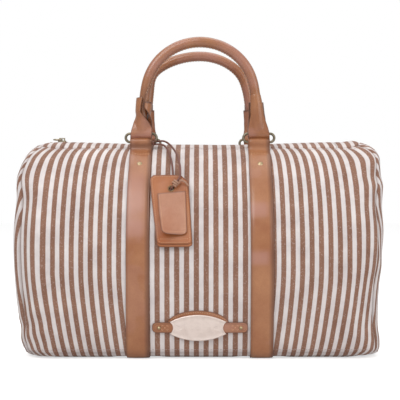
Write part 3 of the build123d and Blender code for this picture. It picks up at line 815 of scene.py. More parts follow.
def make_strip_end(hand, name, node):
    """Plain end of the zip strip, between the end of the zip and the end panel."""
    straight = STRIP_HALF_LENGTH - PLAN_RADIUS_TOP
    end_rows = left_rows if hand < 0 else right_rows
    xs = np.linspace(MOUTH_HALF_LENGTH + 0.0006, STRIP_HALF_LENGTH - 0.0004, 22)
    ts = np.linspace(-1, 1, 27)
    points, uvs, crease = [], [], []
    for t in ts:
        for x in xs:
            beyond = max(0.0, x - straight)
            half = MOUTH_SEAM_Y - PLAN_RADIUS_TOP + math.sqrt(max(0, PLAN_RADIUS_TOP**2 - beyond**2))
            weight = (beyond / PLAN_RADIUS_TOP) ** 2
            rim_z = strip_z(MOUTH_SEAM_Y) * (1 - weight) + end_rows[0][1] * weight
            top_z = crown_z(max(x, CROWN_START))
            top_z += (end_rows[0][1] - crown_z(STRIP_HALF_LENGTH)) * smooth(0.20, STRIP_HALF_LENGTH, x)
            z = rim_z + (top_z - rim_z) * (1 - t * t)
            near_rim = min((1 - abs(t)) * half, STRIP_HALF_LENGTH - x)
            z -= 0.0011 * math.exp(-near_rim / 0.0016)
            z += grain(hand * x * 30, t, 4) * 0.0008 * smooth(0, 0.01, near_rim)
            points.append((hand * x, t * (half - 0.0003), z))
            uvs.append((strip_stripes(hand * x), t * half))
            # Painted shade along the rim.
            crease.append(math.exp(-near_rim / 0.0016) * 0.3)
    return canvas_strip(name, grid_faces(len(ts), len(xs)), (points, uvs, crease), hand < 0, "bag", node)


def make_tape(side, name, node):
    """Zip tape, under the gusset and up to the teeth."""
    xs = np.linspace(-MOUTH_HALF_LENGTH, MOUTH_HALF_LENGTH, 80)
    ys = [0.0005, TAPE_BEAD_Y, 0.003, 0.006, 0.009, 0.013, 0.018, 0.022]
    points = [
        (x, side * y, strip_z(y) - sag(x, y) - TAPE_DROP + (TAPE_BEAD if y == TAPE_BEAD_Y else 0))
        for y in ys
        for x in xs
    ]
    piece = add_mesh(name, points, grid_faces(len(ys), len(xs)), tape_cloth, flip=side < 0)
    add_modifier(piece, "tape_thickness", "SOLIDIFY", thickness=0.0006, offset=-1)
    return place(piece, MOUTH_BODY[side], "zip_cloth", node)


def make_teeth(side, name, node):
    """Row of metal teeth, each a small block with a narrower top."""
    points, faces = [], []
    low, high = TOOTH_REACH
    for k in range(TOOTH_COUNT):
        x = (k - (TOOTH_COUNT - 1) / 2) * TOOTH_PITCH + side * TOOTH_PITCH / 4
        z = strip_z(0) - sag(x, 0) - TOOTH_DROP
        first = len(points)
        for grow, dz in ((1.0, 0.0), (1.0, 0.0011), (0.72, 0.0016)):
            for dx, y in ((-1, low), (1, low), (1, high), (-1, high)):
                y = TOOTH_MIDDLE_Y + (y - TOOTH_MIDDLE_Y) * grow
                points.append((x + dx * TOOTH_HALF_LENGTH * grow, side * y, z + dz))
        faces += [tuple(first + v for v in face) for face in tube_faces(3, 4)]
    piece = add_mesh(name, points, faces, zip_metal, flip=side < 0)
    piece.data.shade_flat()
    add_modifier(piece, "tooth_edges", "BEVEL", width=0.0002, segments=2)
    return place(piece, MOUTH_BODY[side], "zip_metal", node)


for side, word in ((-1, "front"), (1, "back")):
    make_gusset(side, f"gusset_cloth_{word}", f"gusset_{word}")
    make_tape(side, f"tape_cloth_{word}", f"zip_tape_{word}")
    make_teeth(side, f"teeth_row_{word}", f"zip_teeth_{word}")
for hand, word in ((-1, "left"), (1, "right")):
    make_strip_end(hand, f"strip_end_{word}", f"zip_end_{word}")


# ---- leather straps ----
STRAP_HALF_WIDTH = 0.015
STRAP_HALF_THICKNESS = 0.0011
LOOP_MID_RADIUS = 0.0045
NECK_LOW_Z = 0.2715
BOX_Z = 0.256
BOX_HALF = (0.0085, 0.0075)
BAR_HALF_LENGTH = 0.0125
BAR_HEIGHTS = (0.2685, 0.2705)
LOOP_POINTS = 22
BODY_POINTS = 130
STRAP_CLEAR = 0.017
FOOT_STITCH_Z = 0.0135


def strap_line():
    """Middle of the strap's leather as (out, z), from its tucked end to the middle of the base."""
    tucked = [(0.0490, 0.2806), (0.0487, 0.2845)]
    loop = arc_points((RING_Y, RING_LOW_Z), LOOP_MID_RADIUS, 180, 0, 18)
    neck = spline([
        (0.0575, 0.2885), (0.0571, 0.2866), (0.0556, 0.2840), (0.0546, 0.2812), (0.0551, 0.2788),
        (0.0580, 0.2756), (0.0636, NECK_LOW_Z),
    ], 5)
    lift = STRAP_HALF_THICKNESS + 0.00015
    base_z = STRAP_HALF_THICKNESS - 0.00005
    start = math.degrees(math.asin((NECK_LOW_Z - TOP_CENTRE[1]) / (TOP_RADIUS + lift))) - 2
    rest = np.vstack([
        arc_points(TOP_CENTRE, TOP_RADIUS + lift, start, shoulder, 12),
        arc_points(UPPER_CENTRE, UPPER_RADIUS + lift, shoulder, 0, 36)[1:],
        arc_points(LOWER_CENTRE, LOWER_RADIUS + lift, 0, lower_end, 36)[1:],
        arc_points(CORNER_CENTRE, CORNER_RADIUS + lift - 0.0002, lower_end, -90, 12)[1:],
        [(0.06, base_z), (0.03, base_z), (0.0, base_z)],
    ])
    return np.vstack([tucked, loop, neck[1:-1], rest])


def frames_along(line):
    """Unit normals of a line in a plane, to the left of its direction."""
    step = directions(line)
    return np.stack([-step[:, 1], step[:, 0]], 1)


def leather_section(w, t):
    """Rounded section of half width w and half thickness t, as (side, up, edge), with pressed lines."""
    crown = 0.0003
    top = [
        (-w, 0.0, 1), (-w + 0.0001, t * 0.55, 1), (-w + 0.0005, t * 0.95, 0.8),
        (-w + 0.0012, t + crown * 0.2, 0.2), (-w + 0.0020, t - crown * 0.7, 0.6),
        (-w + 0.0028, t + crown * 0.4, 0.1),
        (-w * 0.55, t + crown * 0.8, 0), (-w * 0.25, t + crown, 0),
    ]
    top += [(-a, b, e) for a, b, e in reversed(top)]
    bottom = [
        (w - 0.0001, -t * 0.55, 1), (w - 0.0006, -t, 0.5), (0.0, -t, 0), (-w + 0.0006, -t, 0.5),
        (-w + 0.0001, -t * 0.55, 1),
    ]
    return top + bottom


def make_strap(x, name, node, patches):
    """One strap from ring to ring under the bag. Patches are (height, reach) of painted highlight: paler
    leather standing in for gloss reflections of the lamps.
    """
    half = strap_line()
    half = np.vstack([half[:LOOP_POINTS], resample(half[LOOP_POINTS:], BODY_POINTS)])
    out = np.vstack([half, (half * [-1, 1])[::-1][1:]])
    normals = frames_along(out)
    section = leather_section(STRAP_HALF_WIDTH, STRAP_HALF_THICKNESS)
    centres, ups = [], []
    for (o, z), (no, nz) in zip(out, normals):
        ripple = grain(x * 10, o * 12, z * 12) * 0.0004 * smooth(0.02, 0.06, z)
        ripple *= 1 - smooth(0.24, 0.27, z)
        side_shift = grain(x * 5, 9, z * 7 + o) * 0.0008 * (1 - smooth(0.25, 0.275, z))
        centres.append(np.array([x + side_shift, -o - no * abs(ripple), z + nz * abs(ripple)]))
        ups.append(np.array([0, -no, nz]))
    band, rubbed = [], []
    for _, y, z in centres:
        # Painted shadow: the front left strap's neck darkened under the chape.
        neck = 0.9 * bell(z, 0.2822, 0.0045, 4) if x < 0 and y < 0 else 0.0
        # Painted highlight: paler patches on the strap's front where it would reflect the lamps.
        worn = sum(bell(z, middle, reach, 4) for middle, reach in patches) if y < 0 else 0.0
        band += [max(neck, smooth(0.0085, 0.0095, a)) for a, _, _ in section]
        rubbed += [worn * (1 - smooth(0.007, 0.0095, a)) for a, _, _ in section]
    sides = [np.array([1.0, 0, 0])] * len(centres)
    edge = [e for _ in centres for _, _, e in section]
    sections = [[(a, b) for a, b, _ in section]] * len(centres)
    piece = swept(
        name, centres, sides, ups, sections, leather, edge=edge, band=band, rubbed=rubbed,
        even=[0.6] * len(rubbed),
    )
    place(piece, "bag", "tan_leather", node)


def box_and_cross(middle_x, middle_z, half_x, half_z):
    """Corner lines of a stitched box with a cross, as (x, z) runs."""
    a, b, c, d = (
        (middle_x + half_x * i, middle_z + half_z * k) for i, k in ((-1, -1), (1, -1), (1, 1), (-1, 1))
    )
    return [(a, b), (b, c), (c, d), (d, a), (a, c), (b, d)]


def on_front(x, z, lift):
    """Point and normal on the front of the barrel."""
    if z > TOP_CENTRE[1] + TOP_RADIUS * math.sin(math.radians(shoulder)):
        centre, radius = TOP_CENTRE, TOP_RADIUS
    elif z > UPPER_CENTRE[1]:
        centre, radius = UPPER_CENTRE, UPPER_RADIUS
    else:
        centre, radius = LOWER_CENTRE, LOWER_RADIUS
    angle = math.asin((z - centre[1]) / radius)
    normal = np.array([0, -math.cos(angle), math.sin(angle)])
    return np.array([x, -(centre[0] + radius * math.cos(angle)), z]) + normal * lift, normal


make_strap(-STRAP_X, "strap_leather_left", "strap_left", [(0.215, 0.030), (0.172, 0.012)])
make_strap(STRAP_X, "strap_leather_right", "strap_right", [(0.196, 0.010), (0.134, 0.009)])

strap_runs = []
lift = 2 * STRAP_HALF_THICKNESS + 0.0001
for hand in (-1, 1):
    for side in (-1, 1):
        mirror = [1, -side, 1]
        x = hand * STRAP_X
        runs = box_and_cross(x, BOX_Z, *BOX_HALF)
        runs += [((x - BAR_HALF_LENGTH, z), (x + BAR_HALF_LENGTH, z)) for z in BAR_HEIGHTS]
        for start, end in runs:
            spots = [on_front(x, z, lift) for x, z in np.linspace(start, end, 5)]
            strap_runs.append(([p * mirror for p, _ in spots], [n * mirror for _, n in spots]))
stitches("strap_stitching", strap_runs, (0.0034, 0.0026, 0.0007), "bag")


# ---- seam stitching on the canvas ----
def shell_run(row):
    """Runs along a row of the shell, leaving out what the straps cover."""
    runs = [([], [])]
    for c in range(shell_columns + 1):
        p, n = shell_grid[row, c % shell_columns], shell_normals[row, c % shell_columns]
        if abs(abs(p[0]) - STRAP_X) > STRAP_CLEAR:
            runs[-1][0].append(p + n * 0.0002)
            runs[-1][1].append(n)
        else:
            runs.append(([], []))
    return [run for run in runs if len(run[0]) > 2]


foot_row = int(np.argmin(np.abs(side_rows[:SIDE_ROWS, 1] - FOOT_STITCH_Z)))
canvas_runs = shell_run(2) + shell_run(foot_row)
stitches(
    "canvas_stitching", canvas_runs, (0.0042, 0.0030, 0.0005), "bag", cotton_thread, "striped_canvas"
)


# ---- rolled handles ----
HANDLE_RADIUS = 0.00725
CORE_RADIUS = 0.0048
CORE_FOOT_Z = 0.345
SEWN_FROM_Z = 0.352
HANDLE_TOP_Z = 0.425
LEG_FOOT_Z = 0.296
LEG_HEIGHTS = [0.2992, 0.3000, 0.3015, 0.303, 0.305]
LEAN = math.radians(7.4)
LEAN_TAN = math.tan(LEAN)
ARCH_RADIUS = (STRAP_X - (HANDLE_TOP_Z - LEG_FOOT_Z) * LEAN_TAN) / (
    math.cos(LEAN) - (1 - math.sin(LEAN)) * LEAN_TAN
)
ARCH_START_Z = HANDLE_TOP_Z - ARCH_RADIUS * (1 - math.sin(LEAN))
CHAPE_LOOP = 0.0053
CHAPE_HALF_WIDTH = 0.0146
CUFF_TOP_Z = 0.3435
CHAPE_TOP_Z = 0.353
TWISTED_TOP_Z = 0.349
CURL_FROM_Z = 0.325
HANDLE_SIDES = 28
CHAPE_COLUMNS = 25
LEG_TWIST = math.radians(88)


def leg_x(z):
    return STRAP_X - (z - LEG_FOOT_Z) * LEAN_TAN


def settled(x, z, side):
    """Where use has pushed a handle's axis: the arches are squarer, and the back one leans left."""
    if side < 0:
        reach = np.interp(z, [0.305, 0.345], [1.0, 1.032])
    elif x < 0:
        reach = np.interp(z, [0.305, 0.345, 0.371, 0.386, 0.400], [1.0, 1.06, 1.08, 1.16, 1.28])
    else:
        reach = np.interp(z, [0.305, 0.345, 0.380, 0.392, 0.402], [1.0, 1.01, 1.02, 1.06, 1.08])
    rise = 0.0016 if side < 0 else 0.0009
    return x * reach, z + rise * smooth(0.35, 0.40, z)


def axis_x(hand, side, z):
    return settled(hand * leg_x(z), z, side)[0]


def leg_turn(hand, side, z):
    """How far a leg has turned about its own axis: only the front left one is twisted."""
    if hand > 0 or side > 0:
        return 0.0
    return LEG_TWIST * smooth(0.306, 0.337, z) * (1 - smooth(0.346, 0.385, z))


def turned(vector, turn):
    """Vector turned clockwise about the vertical, seen from above."""
    x, y, z = vector
    return np.array([x * math.cos(turn) + y * math.sin(turn), y * math.cos(turn) - x * math.sin(turn), z])


def tube_shape(z):
    """Half width, half depth and outward shift of the handle at a height."""
    heights = [0.2992, 0.3000, 0.3015, 0.305, 0.315, 0.330, 0.345]
    width = np.interp(z, heights, [0.0015, 0.0038, 0.0056, 0.0064, 0.0068, 0.0072, HANDLE_RADIUS])
    depth = np.interp(z, heights, [0.0008, 0.0016, 0.0022, 0.0028, 0.0042, 0.0060, HANDLE_RADIUS])
    shift = np.interp(z, heights, [0.0010, 0.0010, 0.0010, 0.0010, 0.0010, 0.0005, 0.0])
    return width, depth, shift


def handle_line(side):
    """Axis of a handle as (x, z), from the left foot over the arch to the right foot."""
    leg = [(-leg_x(z), z) for z in [*LEG_HEIGHTS, *np.linspace(0.308, ARCH_START_Z, 16)]]
    lean = math.degrees(LEAN)
    arch = arc_points((0, HANDLE_TOP_Z - ARCH_RADIUS), ARCH_RADIUS, 180 - lean, lean, 72)
    right = [(-x, z) for x, z in reversed(leg)]
    line = np.array([settled(x, z, side) for x, z in np.vstack([leg, arch[1:-1], right])])
    soft = line.copy()
    for _ in range(12):
        soft[1:-1] = 0.5 * soft[1:-1] + 0.25 * (soft[:-2] + soft[2:])
    keep = smooth(0.33, 0.36, line[:, 1])[:, None]
    return line * (1 - keep) + soft * keep


def make_handle(side, name, body, nodes):
    line = handle_line(side)
    normals = frames_along(line)
    angles = np.linspace(0, 2 * math.pi, HANDLE_SIDES, endpoint=False)
    centres, sides, ups, widths, sections = [], [], [], [], []
    seam = math.pi
    dents = [1 - 0.055 * bell(a, seam, 0.12) for a in angles]
    for (x, z), (nx, nz) in zip(line, normals):
        width, depth, shift = tube_shape(z)
        lump = 1 + 0.018 * grain(x * 45, side * 3, z * 45)
        turn = leg_turn(-1 if x < 0 else 1, side, z)
        up = turned((0, side, 0), turn)
        centres.append(np.array([x, side * RING_Y, z]) + up * shift)
        sides.append(turned((nx, 0, nz), turn))
        ups.append(up)
        widths.append(width * lump)
        sections.append([
            (width * lump * math.cos(a) * dent, depth * lump * math.sin(a) * dent)
            for a, dent in zip(angles, dents)
        ])
    # The band attribute darkens the roll's underside round its seam: painted shade.
    piece = swept(
        name, centres, sides, ups, sections, handle_leather,
        edge=[0.8 * bell(a, seam, 0.16) for _ in centres for a in angles],
        band=[0.75 * bell(a, seam, 0.95) for _ in centres for a in angles],
    )
    if side > 0:
        piece.data.flip_normals()
    add_modifier(piece, "roundness", "SUBSURF", levels=1, render_levels=1)
    place(piece, body, "tan_leather", *nodes)
    keep = [k for k, (x, z) in enumerate(line) if z > SEWN_FROM_Z]
    runs = [
        ([centres[k] - sides[k] * (widths[k] * 0.955) + np.array([0, offset, 0]) for k in keep],
         [-sides[k] for k in keep])
        for offset in (-0.0022, 0.0022)
    ]
    stitches(f"{name}_stitching", runs, (0.0042, 0.0030, 0.0006), body)


def chape_point(hand, side, z, across, out):
    """Point of a chape: across the leg and outwards from its axis, turned with the leg."""
    offset = turned((hand * across, side * out, 0), leg_turn(hand, side, z))
    return np.array([axis_x(hand, side, z), side * RING_Y, z]) + offset


def wrapped(z, away):
    """How the front left chape closes round the roll: its curvature and distance from the roll's axis."""
    bend = np.interp(z, [0.306, 0.316, 0.326, 0.335], [0.0, 28.0, 68.0, 1 / away])
    distance = np.interp(z, [0.300, 0.3025, 0.309, 0.320, 0.330, 0.337],
                         [CHAPE_LOOP, 0.0048, 0.0040, 0.0056, away - 0.0002, away])
    return bend, distance


def curled(across, distance, bend):
    """Place across and out of a sheet bent to a curvature, at a distance from the roll's axis."""
    if bend <= 1:
        return across, distance
    return math.sin(bend * across) / bend, distance - (1 - math.cos(bend * across)) / bend


def front_layer_row(hand, side, z, columns, twisted):
    """Row of points across a chape's front layer, which bulges over the roll."""
    width, depth, shift = tube_shape(max(z, 0.3015))
    bend, distance = wrapped(z, 0.0094)
    if twisted:
        cover = 0.0016
        half = np.interp(z, [0.300, 0.306, 0.312, 0.320, 0.328, 0.335, TWISTED_TOP_Z],
                         [CHAPE_HALF_WIDTH, 0.0140, 0.0120, 0.0097, 0.0100, 0.0116, 0.0130])
    else:
        cover = np.interp(z, [0.300, 0.326, 0.340, CHAPE_TOP_Z], [0.0016, 0.0012, 0.0001, -0.0007])
        half = np.interp(z, [0.300, 0.304, 0.308, 0.312, 0.316, 0.320, 0.326, 0.332, 0.340, CHAPE_TOP_Z], [
            CHAPE_HALF_WIDTH, 0.0143, 0.0136, 0.0126, 0.0114, 0.0104, 0.0088, 0.0076, 0.0069, 0.0058,
        ])
    flat = np.interp(z, [0.300, 0.3025, 0.309, 0.320, 0.335, CHAPE_TOP_Z],
                     [CHAPE_LOOP, 0.0048, 0.0036, 0.0034, 0.0022, 0.0002])
    end = smooth(0.2985, 0.3045, z)
    row = []
    for across in columns * half:
        bulge = shift + (depth + cover) * end * math.sqrt(max(0.0, 1 - (across / (width + cover)) ** 2))
        sheet = flat
        if twisted:
            across, sheet = curled(across, distance, bend)
        gap = bulge - sheet
        out = sheet + 0.5 * (gap + math.sqrt(gap * gap + 0.0006**2)) - 0.0001
        if twisted and z >= CURL_FROM_Z:
            out = sheet
        row.append(chape_point(hand, side, z, across, out))
    return row


def inner_layer_row(hand, side, z, columns, twisted):
    """Row of points across a chape's inner layer, the cuff behind the roll."""
    half = np.interp(z, [0.300, 0.310, 0.318, 0.328, CUFF_TOP_Z],
                     [CHAPE_HALF_WIDTH, 0.0132, 0.0112, 0.0096, 0.0089])
    tongue = np.interp(z, [0.300, 0.312, 0.322, 0.335], [CHAPE_HALF_WIDTH, 0.0126, 0.0117, 0.0134])
    hug = smooth(0.308, 0.334, z)
    flat = np.interp(z, [0.300, 0.3025, 0.309], [CHAPE_LOOP, 0.0048, 0.0036])
    bend, distance = wrapped(z, 0.0092)
    row = []
    for u in columns:
        curve = (HANDLE_RADIUS + 0.0019) * math.sqrt(max(0.0, 1 - (0.95 * u) ** 2))
        across, out = u * half, flat * (1 - hug) + curve * hug
        if twisted:
            across, out = curled(tongue * u, distance, bend)
        row.append(chape_point(hand, side, z, across, -out))
    return row


def chape_surface(hand, side):
    """Outer face of a chape: front layer down, round the ring's bar, and up the inner layer."""
    columns = np.linspace(-1, 1, CHAPE_COLUMNS)
    rim = [smooth(0.9, 1.0, abs(u)) for u in columns]
    twisted = leg_turn(hand, side, 0.340) > 0
    top = TWISTED_TOP_Z if twisted else CHAPE_TOP_Z
    rows, edges = [], []
    for z in np.concatenate([np.linspace(top, 0.302, 32), [RING_HIGH_Z]]):
        rows.append(front_layer_row(hand, side, z, columns, twisted))
        cut = smooth(TWISTED_TOP_Z - 0.0015, TWISTED_TOP_Z, z) if twisted else 0.0
        edges.append([max(cut, e) for e in rim])
    for out, z in arc_points((0, RING_HIGH_Z), CHAPE_LOOP, 0, -180, 16)[1:-1]:
        rows.append([chape_point(hand, side, z, u * CHAPE_HALF_WIDTH, out) for u in columns])
        edges.append(rim)
    for z in np.linspace(RING_HIGH_Z, CUFF_TOP_Z, 26):
        rows.append(inner_layer_row(hand, side, z, columns, twisted))
        cut = smooth(CUFF_TOP_Z - 0.0036, CUFF_TOP_Z - 0.0020, z)
        edges.append([max(cut, e) for e in rim])
    return rows, edges, columns


def make_chape(hand, side, name, body, node):
    rows, edges, columns = chape_surface(hand, side)
    piece = add_mesh(
        name, [p for row in rows for p in row], grid_faces(len(rows), len(columns)), handle_leather,
        flip=hand * side > 0, edge=[e for row in edges for e in row],
    )
    add_modifier(piece, "leather_thickness", "SOLIDIFY", thickness=0.0017, offset=-1)
    add_modifier(piece, "soft_edges", "BEVEL", width=0.0004, segments=2, limit_method="ANGLE")
    place(piece, body, "tan_leather", node)
    runs = []
    outer, inner = range(10, 30), range(len(rows) - 22, len(rows) - 1)
    for column in (2, len(columns) - 3):
        for picks, sign in ((outer, 1), (inner, -1)):
            picks = [k for k in picks if leg_turn(hand, side, rows[k][column][2]) < 0.02]
            normals = [turned((0, side * sign, 0), leg_turn(hand, side, rows[k][column][2])) for k in picks]
            line = [rows[k][column] + n * 0.0001 for k, n in zip(picks, normals)]
            if len(line) > 2:
                runs.append((line, normals))
    stitches(f"{name}_stitching", runs, (0.0034, 0.0025, 0.0006), body)


def make_core(side, name, body, node):
    """Soft core inside the roll, on the same settled line."""
    line = np.array([p for p in handle_line(side) if p[1] > CORE_FOOT_Z])
    normals = frames_along(line)
    centres = [np.array([x, side * RING_Y, z]) for x, z in line]
    sides = [np.array([nx, 0, nz]) for nx, nz in normals]
    ups = [np.array([0, side, 0])] * len(line)
    sections = [ellipse(CORE_RADIUS, CORE_RADIUS, 16)] * len(line)
    piece = swept(name, centres, sides, ups, sections, lining_cloth)
    if side > 0:
        piece.data.flip_normals()
    return place(piece, body, "lining_cloth", node)


for side, word in ((-1, "front"), (1, "back")):
    body = f"{word}_handle"
    make_handle(side, f"{word}_handle_roll", body, [f"{word}_handle_cover"])
    make_core(side, f"{word}_core_cord", body, f"{word}_handle_core")
    for hand, hand_word in ((-1, "left"), (1, "right")):
        make_chape(hand, side, f"{word}_chape_leather_{hand_word}", body, f"{word}_chape_{hand_word}")


# ---- name plate, its patch and belt ----
PATCH_THICKNESS = 0.0016
BELT_X = 0.0025
plate_origin, plate_normal = on_front(*PLATE_CENTRE, 0.00035)
plate_up = np.cross(plate_normal, [1, 0, 0])
plate_up = plate_up if plate_up[2] > 0 else -plate_up


def on_plate(a, b, h):
    """Point over the plate's plane: a to the right, b up, h outwards."""
    return plate_origin + np.array([a, 0, 0]) + plate_up * b + plate_normal * h


def domed_patch(name, outline, profile, material, shift, base=0.0):
    """Low plate: an outline drawn in by steps. profile holds (inset, height, edge) from the foot up."""
    outline = np.array(outline)
    half = np.abs(outline).max(axis=0)
    points, edges = [], []
    for inset, height, edge in profile:
        scale = np.maximum(1 - inset / half, 0.02)
        for a, b in outline * scale:
            points.append(on_plate(a + shift[0], b + shift[1], base + height))
            edges.append(edge)
    return add_mesh(name, points, tube_faces(len(profile), len(outline)), material, edge=edges)


def rounded_outline(half_a, half_b, corner):
    quarter = [tuple(p) for p in arc_points((half_a - corner, half_b - corner), corner, 0, 90, 8)]
    upper = quarter + [(-a, b) for a, b in reversed(quarter)]
    return upper + [(-a, -b) for a, b in upper]


def arc_through(a, b, c, count):
    """Points on the circle through a, b and c, from a to c, without the last."""
    a, b, c = (complex(*p) for p in (a, b, c))
    w = (c - a) / (b - a)
    centre = (b - a) * (w - abs(w) ** 2) / (2j * w.imag) + a
    start = a - centre
    turn = np.angle((c - centre) / start)
    middle = np.angle((b - centre) / start)
    if middle * turn < 0 or abs(middle) > abs(turn):
        turn -= math.copysign(2 * math.pi, turn)
    values = [centre + start * np.exp(1j * turn * t) for t in np.linspace(0, 1, count, endpoint=False)]
    return [(v.real, v.imag) for v in values]


def plate_outline():
    end_a, end_b, high, notch = 0.0365, 0.008, 0.0175, 0.004
    return (
        arc_through((-end_a, end_b), (0, high), (end_a, end_b), 44)
        + arc_through((end_a, end_b), (end_a - notch, 0), (end_a, -end_b), 12)
        + arc_through((end_a, -end_b), (0, -high), (-end_a, -end_b), 44)
        + arc_through((-end_a, -end_b), (notch - end_a, 0), (-end_a, end_b), 12)
    )


PATCH_PROFILE = [
    (0.0, 0.0, 1), (0.0, 0.0009, 1), (0.0004, 0.0014, 0.9), (0.0010, 0.0016, 0.3), (0.0018, 0.00165, 0.0),
    (0.0024, 0.0014, 0.5), (0.0030, 0.0016, 0.0), (0.006, 0.0016, 0.0),
]
PATCH_HALF = (0.041, 0.020)
PATCH_RISE = 0.0023
patch_outline = ellipse(*PATCH_HALF, 96)
patch = domed_patch("plate_patch_leather", patch_outline, PATCH_PROFILE, leather, (0, PATCH_RISE))
place(patch, "bag", "tan_leather", "plate_backing")
belt_profile = PATCH_PROFILE[:-1] + [(0.0045, 0.00165, 0.0)]
belt_outline = rounded_outline(0.062, 0.007, 0.0055)
belt = domed_patch("plate_belt_leather", belt_outline, belt_profile, leather, (BELT_X, 0), PATCH_THICKNESS)
place(belt, "bag", "tan_leather", "plate_belt")
plate = domed_patch(
    "name_plate_metal", plate_outline(),
    [(0.0, 0.0, 1), (0.0, 0.0009, 1), (0.0003, 0.0013, 0.6), (0.0008, 0.0016, 0), (0.0015, 0.00165, 0),
     (0.0021, 0.0014, 0.2), (0.0026, 0.0011, 0), (0.006, 0.0013, 0), (0.011, 0.0015, 0),
     (0.0155, 0.0016, 0)],
    plate_metal, (0, 0), 2 * PATCH_THICKNESS,
)
place(plate, "bag", "plate_metal", "name_plate")

patch_runs = []
ring = [(a * 0.94, b * 0.885 + PATCH_RISE) for a, b in patch_outline]
for half in (1, -1):
    run = sorted(p for p in ring if half * p[1] > 0.0068)
    patch_runs.append(([on_plate(a, b, 0.00155) for a, b in run], [plate_normal] * len(run)))
CROSS_X, CROSS_Z = 0.0040, 0.0044
for end in (-1, 1):
    middle = BELT_X + end * 0.0455
    for i, k, m, n in ((-1, -1, 1, 1), (-1, 1, 1, -1), (-1, -1, -1, 1), (1, 1, 1, -1)):
        line = np.linspace((i * CROSS_X, k * CROSS_Z), (m * CROSS_X, n * CROSS_Z), 4)
        patch_runs.append(([on_plate(middle + a, b, 0.00325) for a, b in line], [plate_normal] * 4))
stitches("plate_stitching", patch_runs, (0.0030, 0.0023, 0.0006), "bag")


# ---- luggage tag ----
EYELET = np.array([-0.0377, -0.1102, 0.2230])
EYELET_HOLE = 0.0037
TAG_GRID = 0.0021
TAG_FOOT = -0.0775
FRONT_FOOT = -0.0742
FLAP_FOOT = -0.0625
FLAP_HINGE = -0.005
TAG_WINDOW = (-0.0155, 0.0155, -0.054, -0.010)
TAG_LEAN = math.radians(14)
TAG_TILT = math.radians(5.5)
TAG_SKEW = 0.09
tag_normal = np.array([0, -math.cos(TAG_LEAN), math.sin(TAG_LEAN)])
tag_slope = np.array([0, math.sin(TAG_LEAN), math.cos(TAG_LEAN)])
tag_right = np.array([1, 0, 0]) * math.cos(TAG_TILT) + tag_slope * math.sin(TAG_TILT)
tag_up = np.cross(tag_normal, tag_right)


def on_tag(a, b, h):
    return EYELET + tag_right * a + tag_up * b + tag_normal * h


def tag_point(a, b, h):
    """Point of the worn tag, whose ends hang level although its sides lean."""
    return on_tag(a, b - TAG_SKEW * a, h)


def flap_point(a, b, h):
    """Point of the flap, which leans like the tag but hangs from a level hinge line."""
    return on_tag(a, b - TAG_SKEW * a * smooth(FLAP_HINGE, -0.034, b), h)


def tag_bend(a, b):
    """The leather tag's own slight warp, outwards."""
    low = smooth(0.0, 1.0, (-b - 0.02) / 0.055)
    return 0.0011 * low * (0.4 + (a / 0.023) ** 2) + 0.0005 * grain(a * 60, b * 60, 1)


def tag_sheet(name, low, top, limits, thickness, base, material, hole=0.0, window=None, warp=tag_bend,
              point=tag_point):
    """Sheet of the tag, with an optional round hole and a window (left, right, low, top)."""
    across = np.linspace(0, 1, 27)
    bs = np.linspace(low, top, round((top - low) / TAG_GRID) + 1)
    if window:
        bs = np.array(sorted(set(np.round(np.append(bs, window[2:]), 6))))
    flat, points, drop, edges = [], [], set(), []
    for b in bs:
        left, right = limits(b)
        for u in across:
            a = left + (right - left) * u
            if window:
                near = min(window[:2], key=lambda w: abs(w - a))
                a = near if abs(near - a) < 0.001 else a
            distance = math.hypot(a, b)
            placed = b
            if hole and distance < hole:
                drop.add(len(points))
                distance = max(distance, 1e-5)
                a, placed = a * hole / distance, b * hole / distance
            flat.append((a, placed))
            points.append(point(a, placed, base + warp(a, placed)))
            rim = min(a - left, right - a, placed - low, top - placed)
            edges.append(1 - smooth(0.0002, 0.0012, rim))
    faces = []
    for face in grid_faces(len(bs), len(across)):
        a, b = np.mean([flat[v] for v in face], axis=0)
        inside = window and window[0] < a < window[1] and window[2] < b < window[3]
        if not inside and not all(v in drop for v in face):
            faces.append(face)
    piece = add_mesh(name, points, faces, material, edge=edges)
    add_modifier(piece, "thickness", "SOLIDIFY", thickness=thickness, offset=1)
    add_modifier(piece, "soft_edges", "BEVEL", width=0.00035, segments=2, limit_method="ANGLE")
    return piece


def tag_limits(foot, inset=0.0):
    """Left and right edge of the tag at a height: wider at the top, with cut corners and a rounded foot."""
    radius = 0.0045

    def limits(b):
        rest = min(radius, max(0.0, foot + radius - b))
        corner = radius - math.sqrt(radius**2 - rest**2)
        fade = min(1.0, max(0.0, (-0.015 - b) / 0.0625))
        left = -0.0266 + 0.0018 * fade + inset + corner + max(0.0, b - (0.014 - inset))
        right = 0.0229 - 0.0022 * fade - inset - corner - max(0.0, b - (0.010 - inset))
        return left, right

    return limits


back_layer = tag_sheet(
    "tag_back_leather", TAG_FOOT, 0.019, tag_limits(TAG_FOOT), 0.0020, -0.0010, tag_leather, EYELET_HOLE
)
place(back_layer, "tag", "tan_leather", "tag_back")
front_layer = tag_sheet(
    "tag_front_leather", FRONT_FOOT, 0.0186, tag_limits(FRONT_FOOT, 0.0004), 0.0012, 0.0010, tag_leather,
    EYELET_HOLE, TAG_WINDOW,
)
place(front_layer, "tag", "tan_leather", "tag_frame")
card = tag_sheet("tag_card_paper", -0.0535, -0.0105, lambda b: (-0.015, 0.015), 0.0004, 0.0011, card_paper)
place(card, "tag", "card_paper", "tag_card")


def flap_warp(a, b):
    """The flap stands off a little, and its lower left corner curls up."""
    down = min(1.0, max(0.0, (FLAP_HINGE - b) / 0.058))
    corner = max(0.0, down - 0.35) * max(0.0, 0.45 - a / 0.018) / 0.94
    return tag_bend(a, b) + 0.0021 * down**2 + 0.0105 * corner**1.4


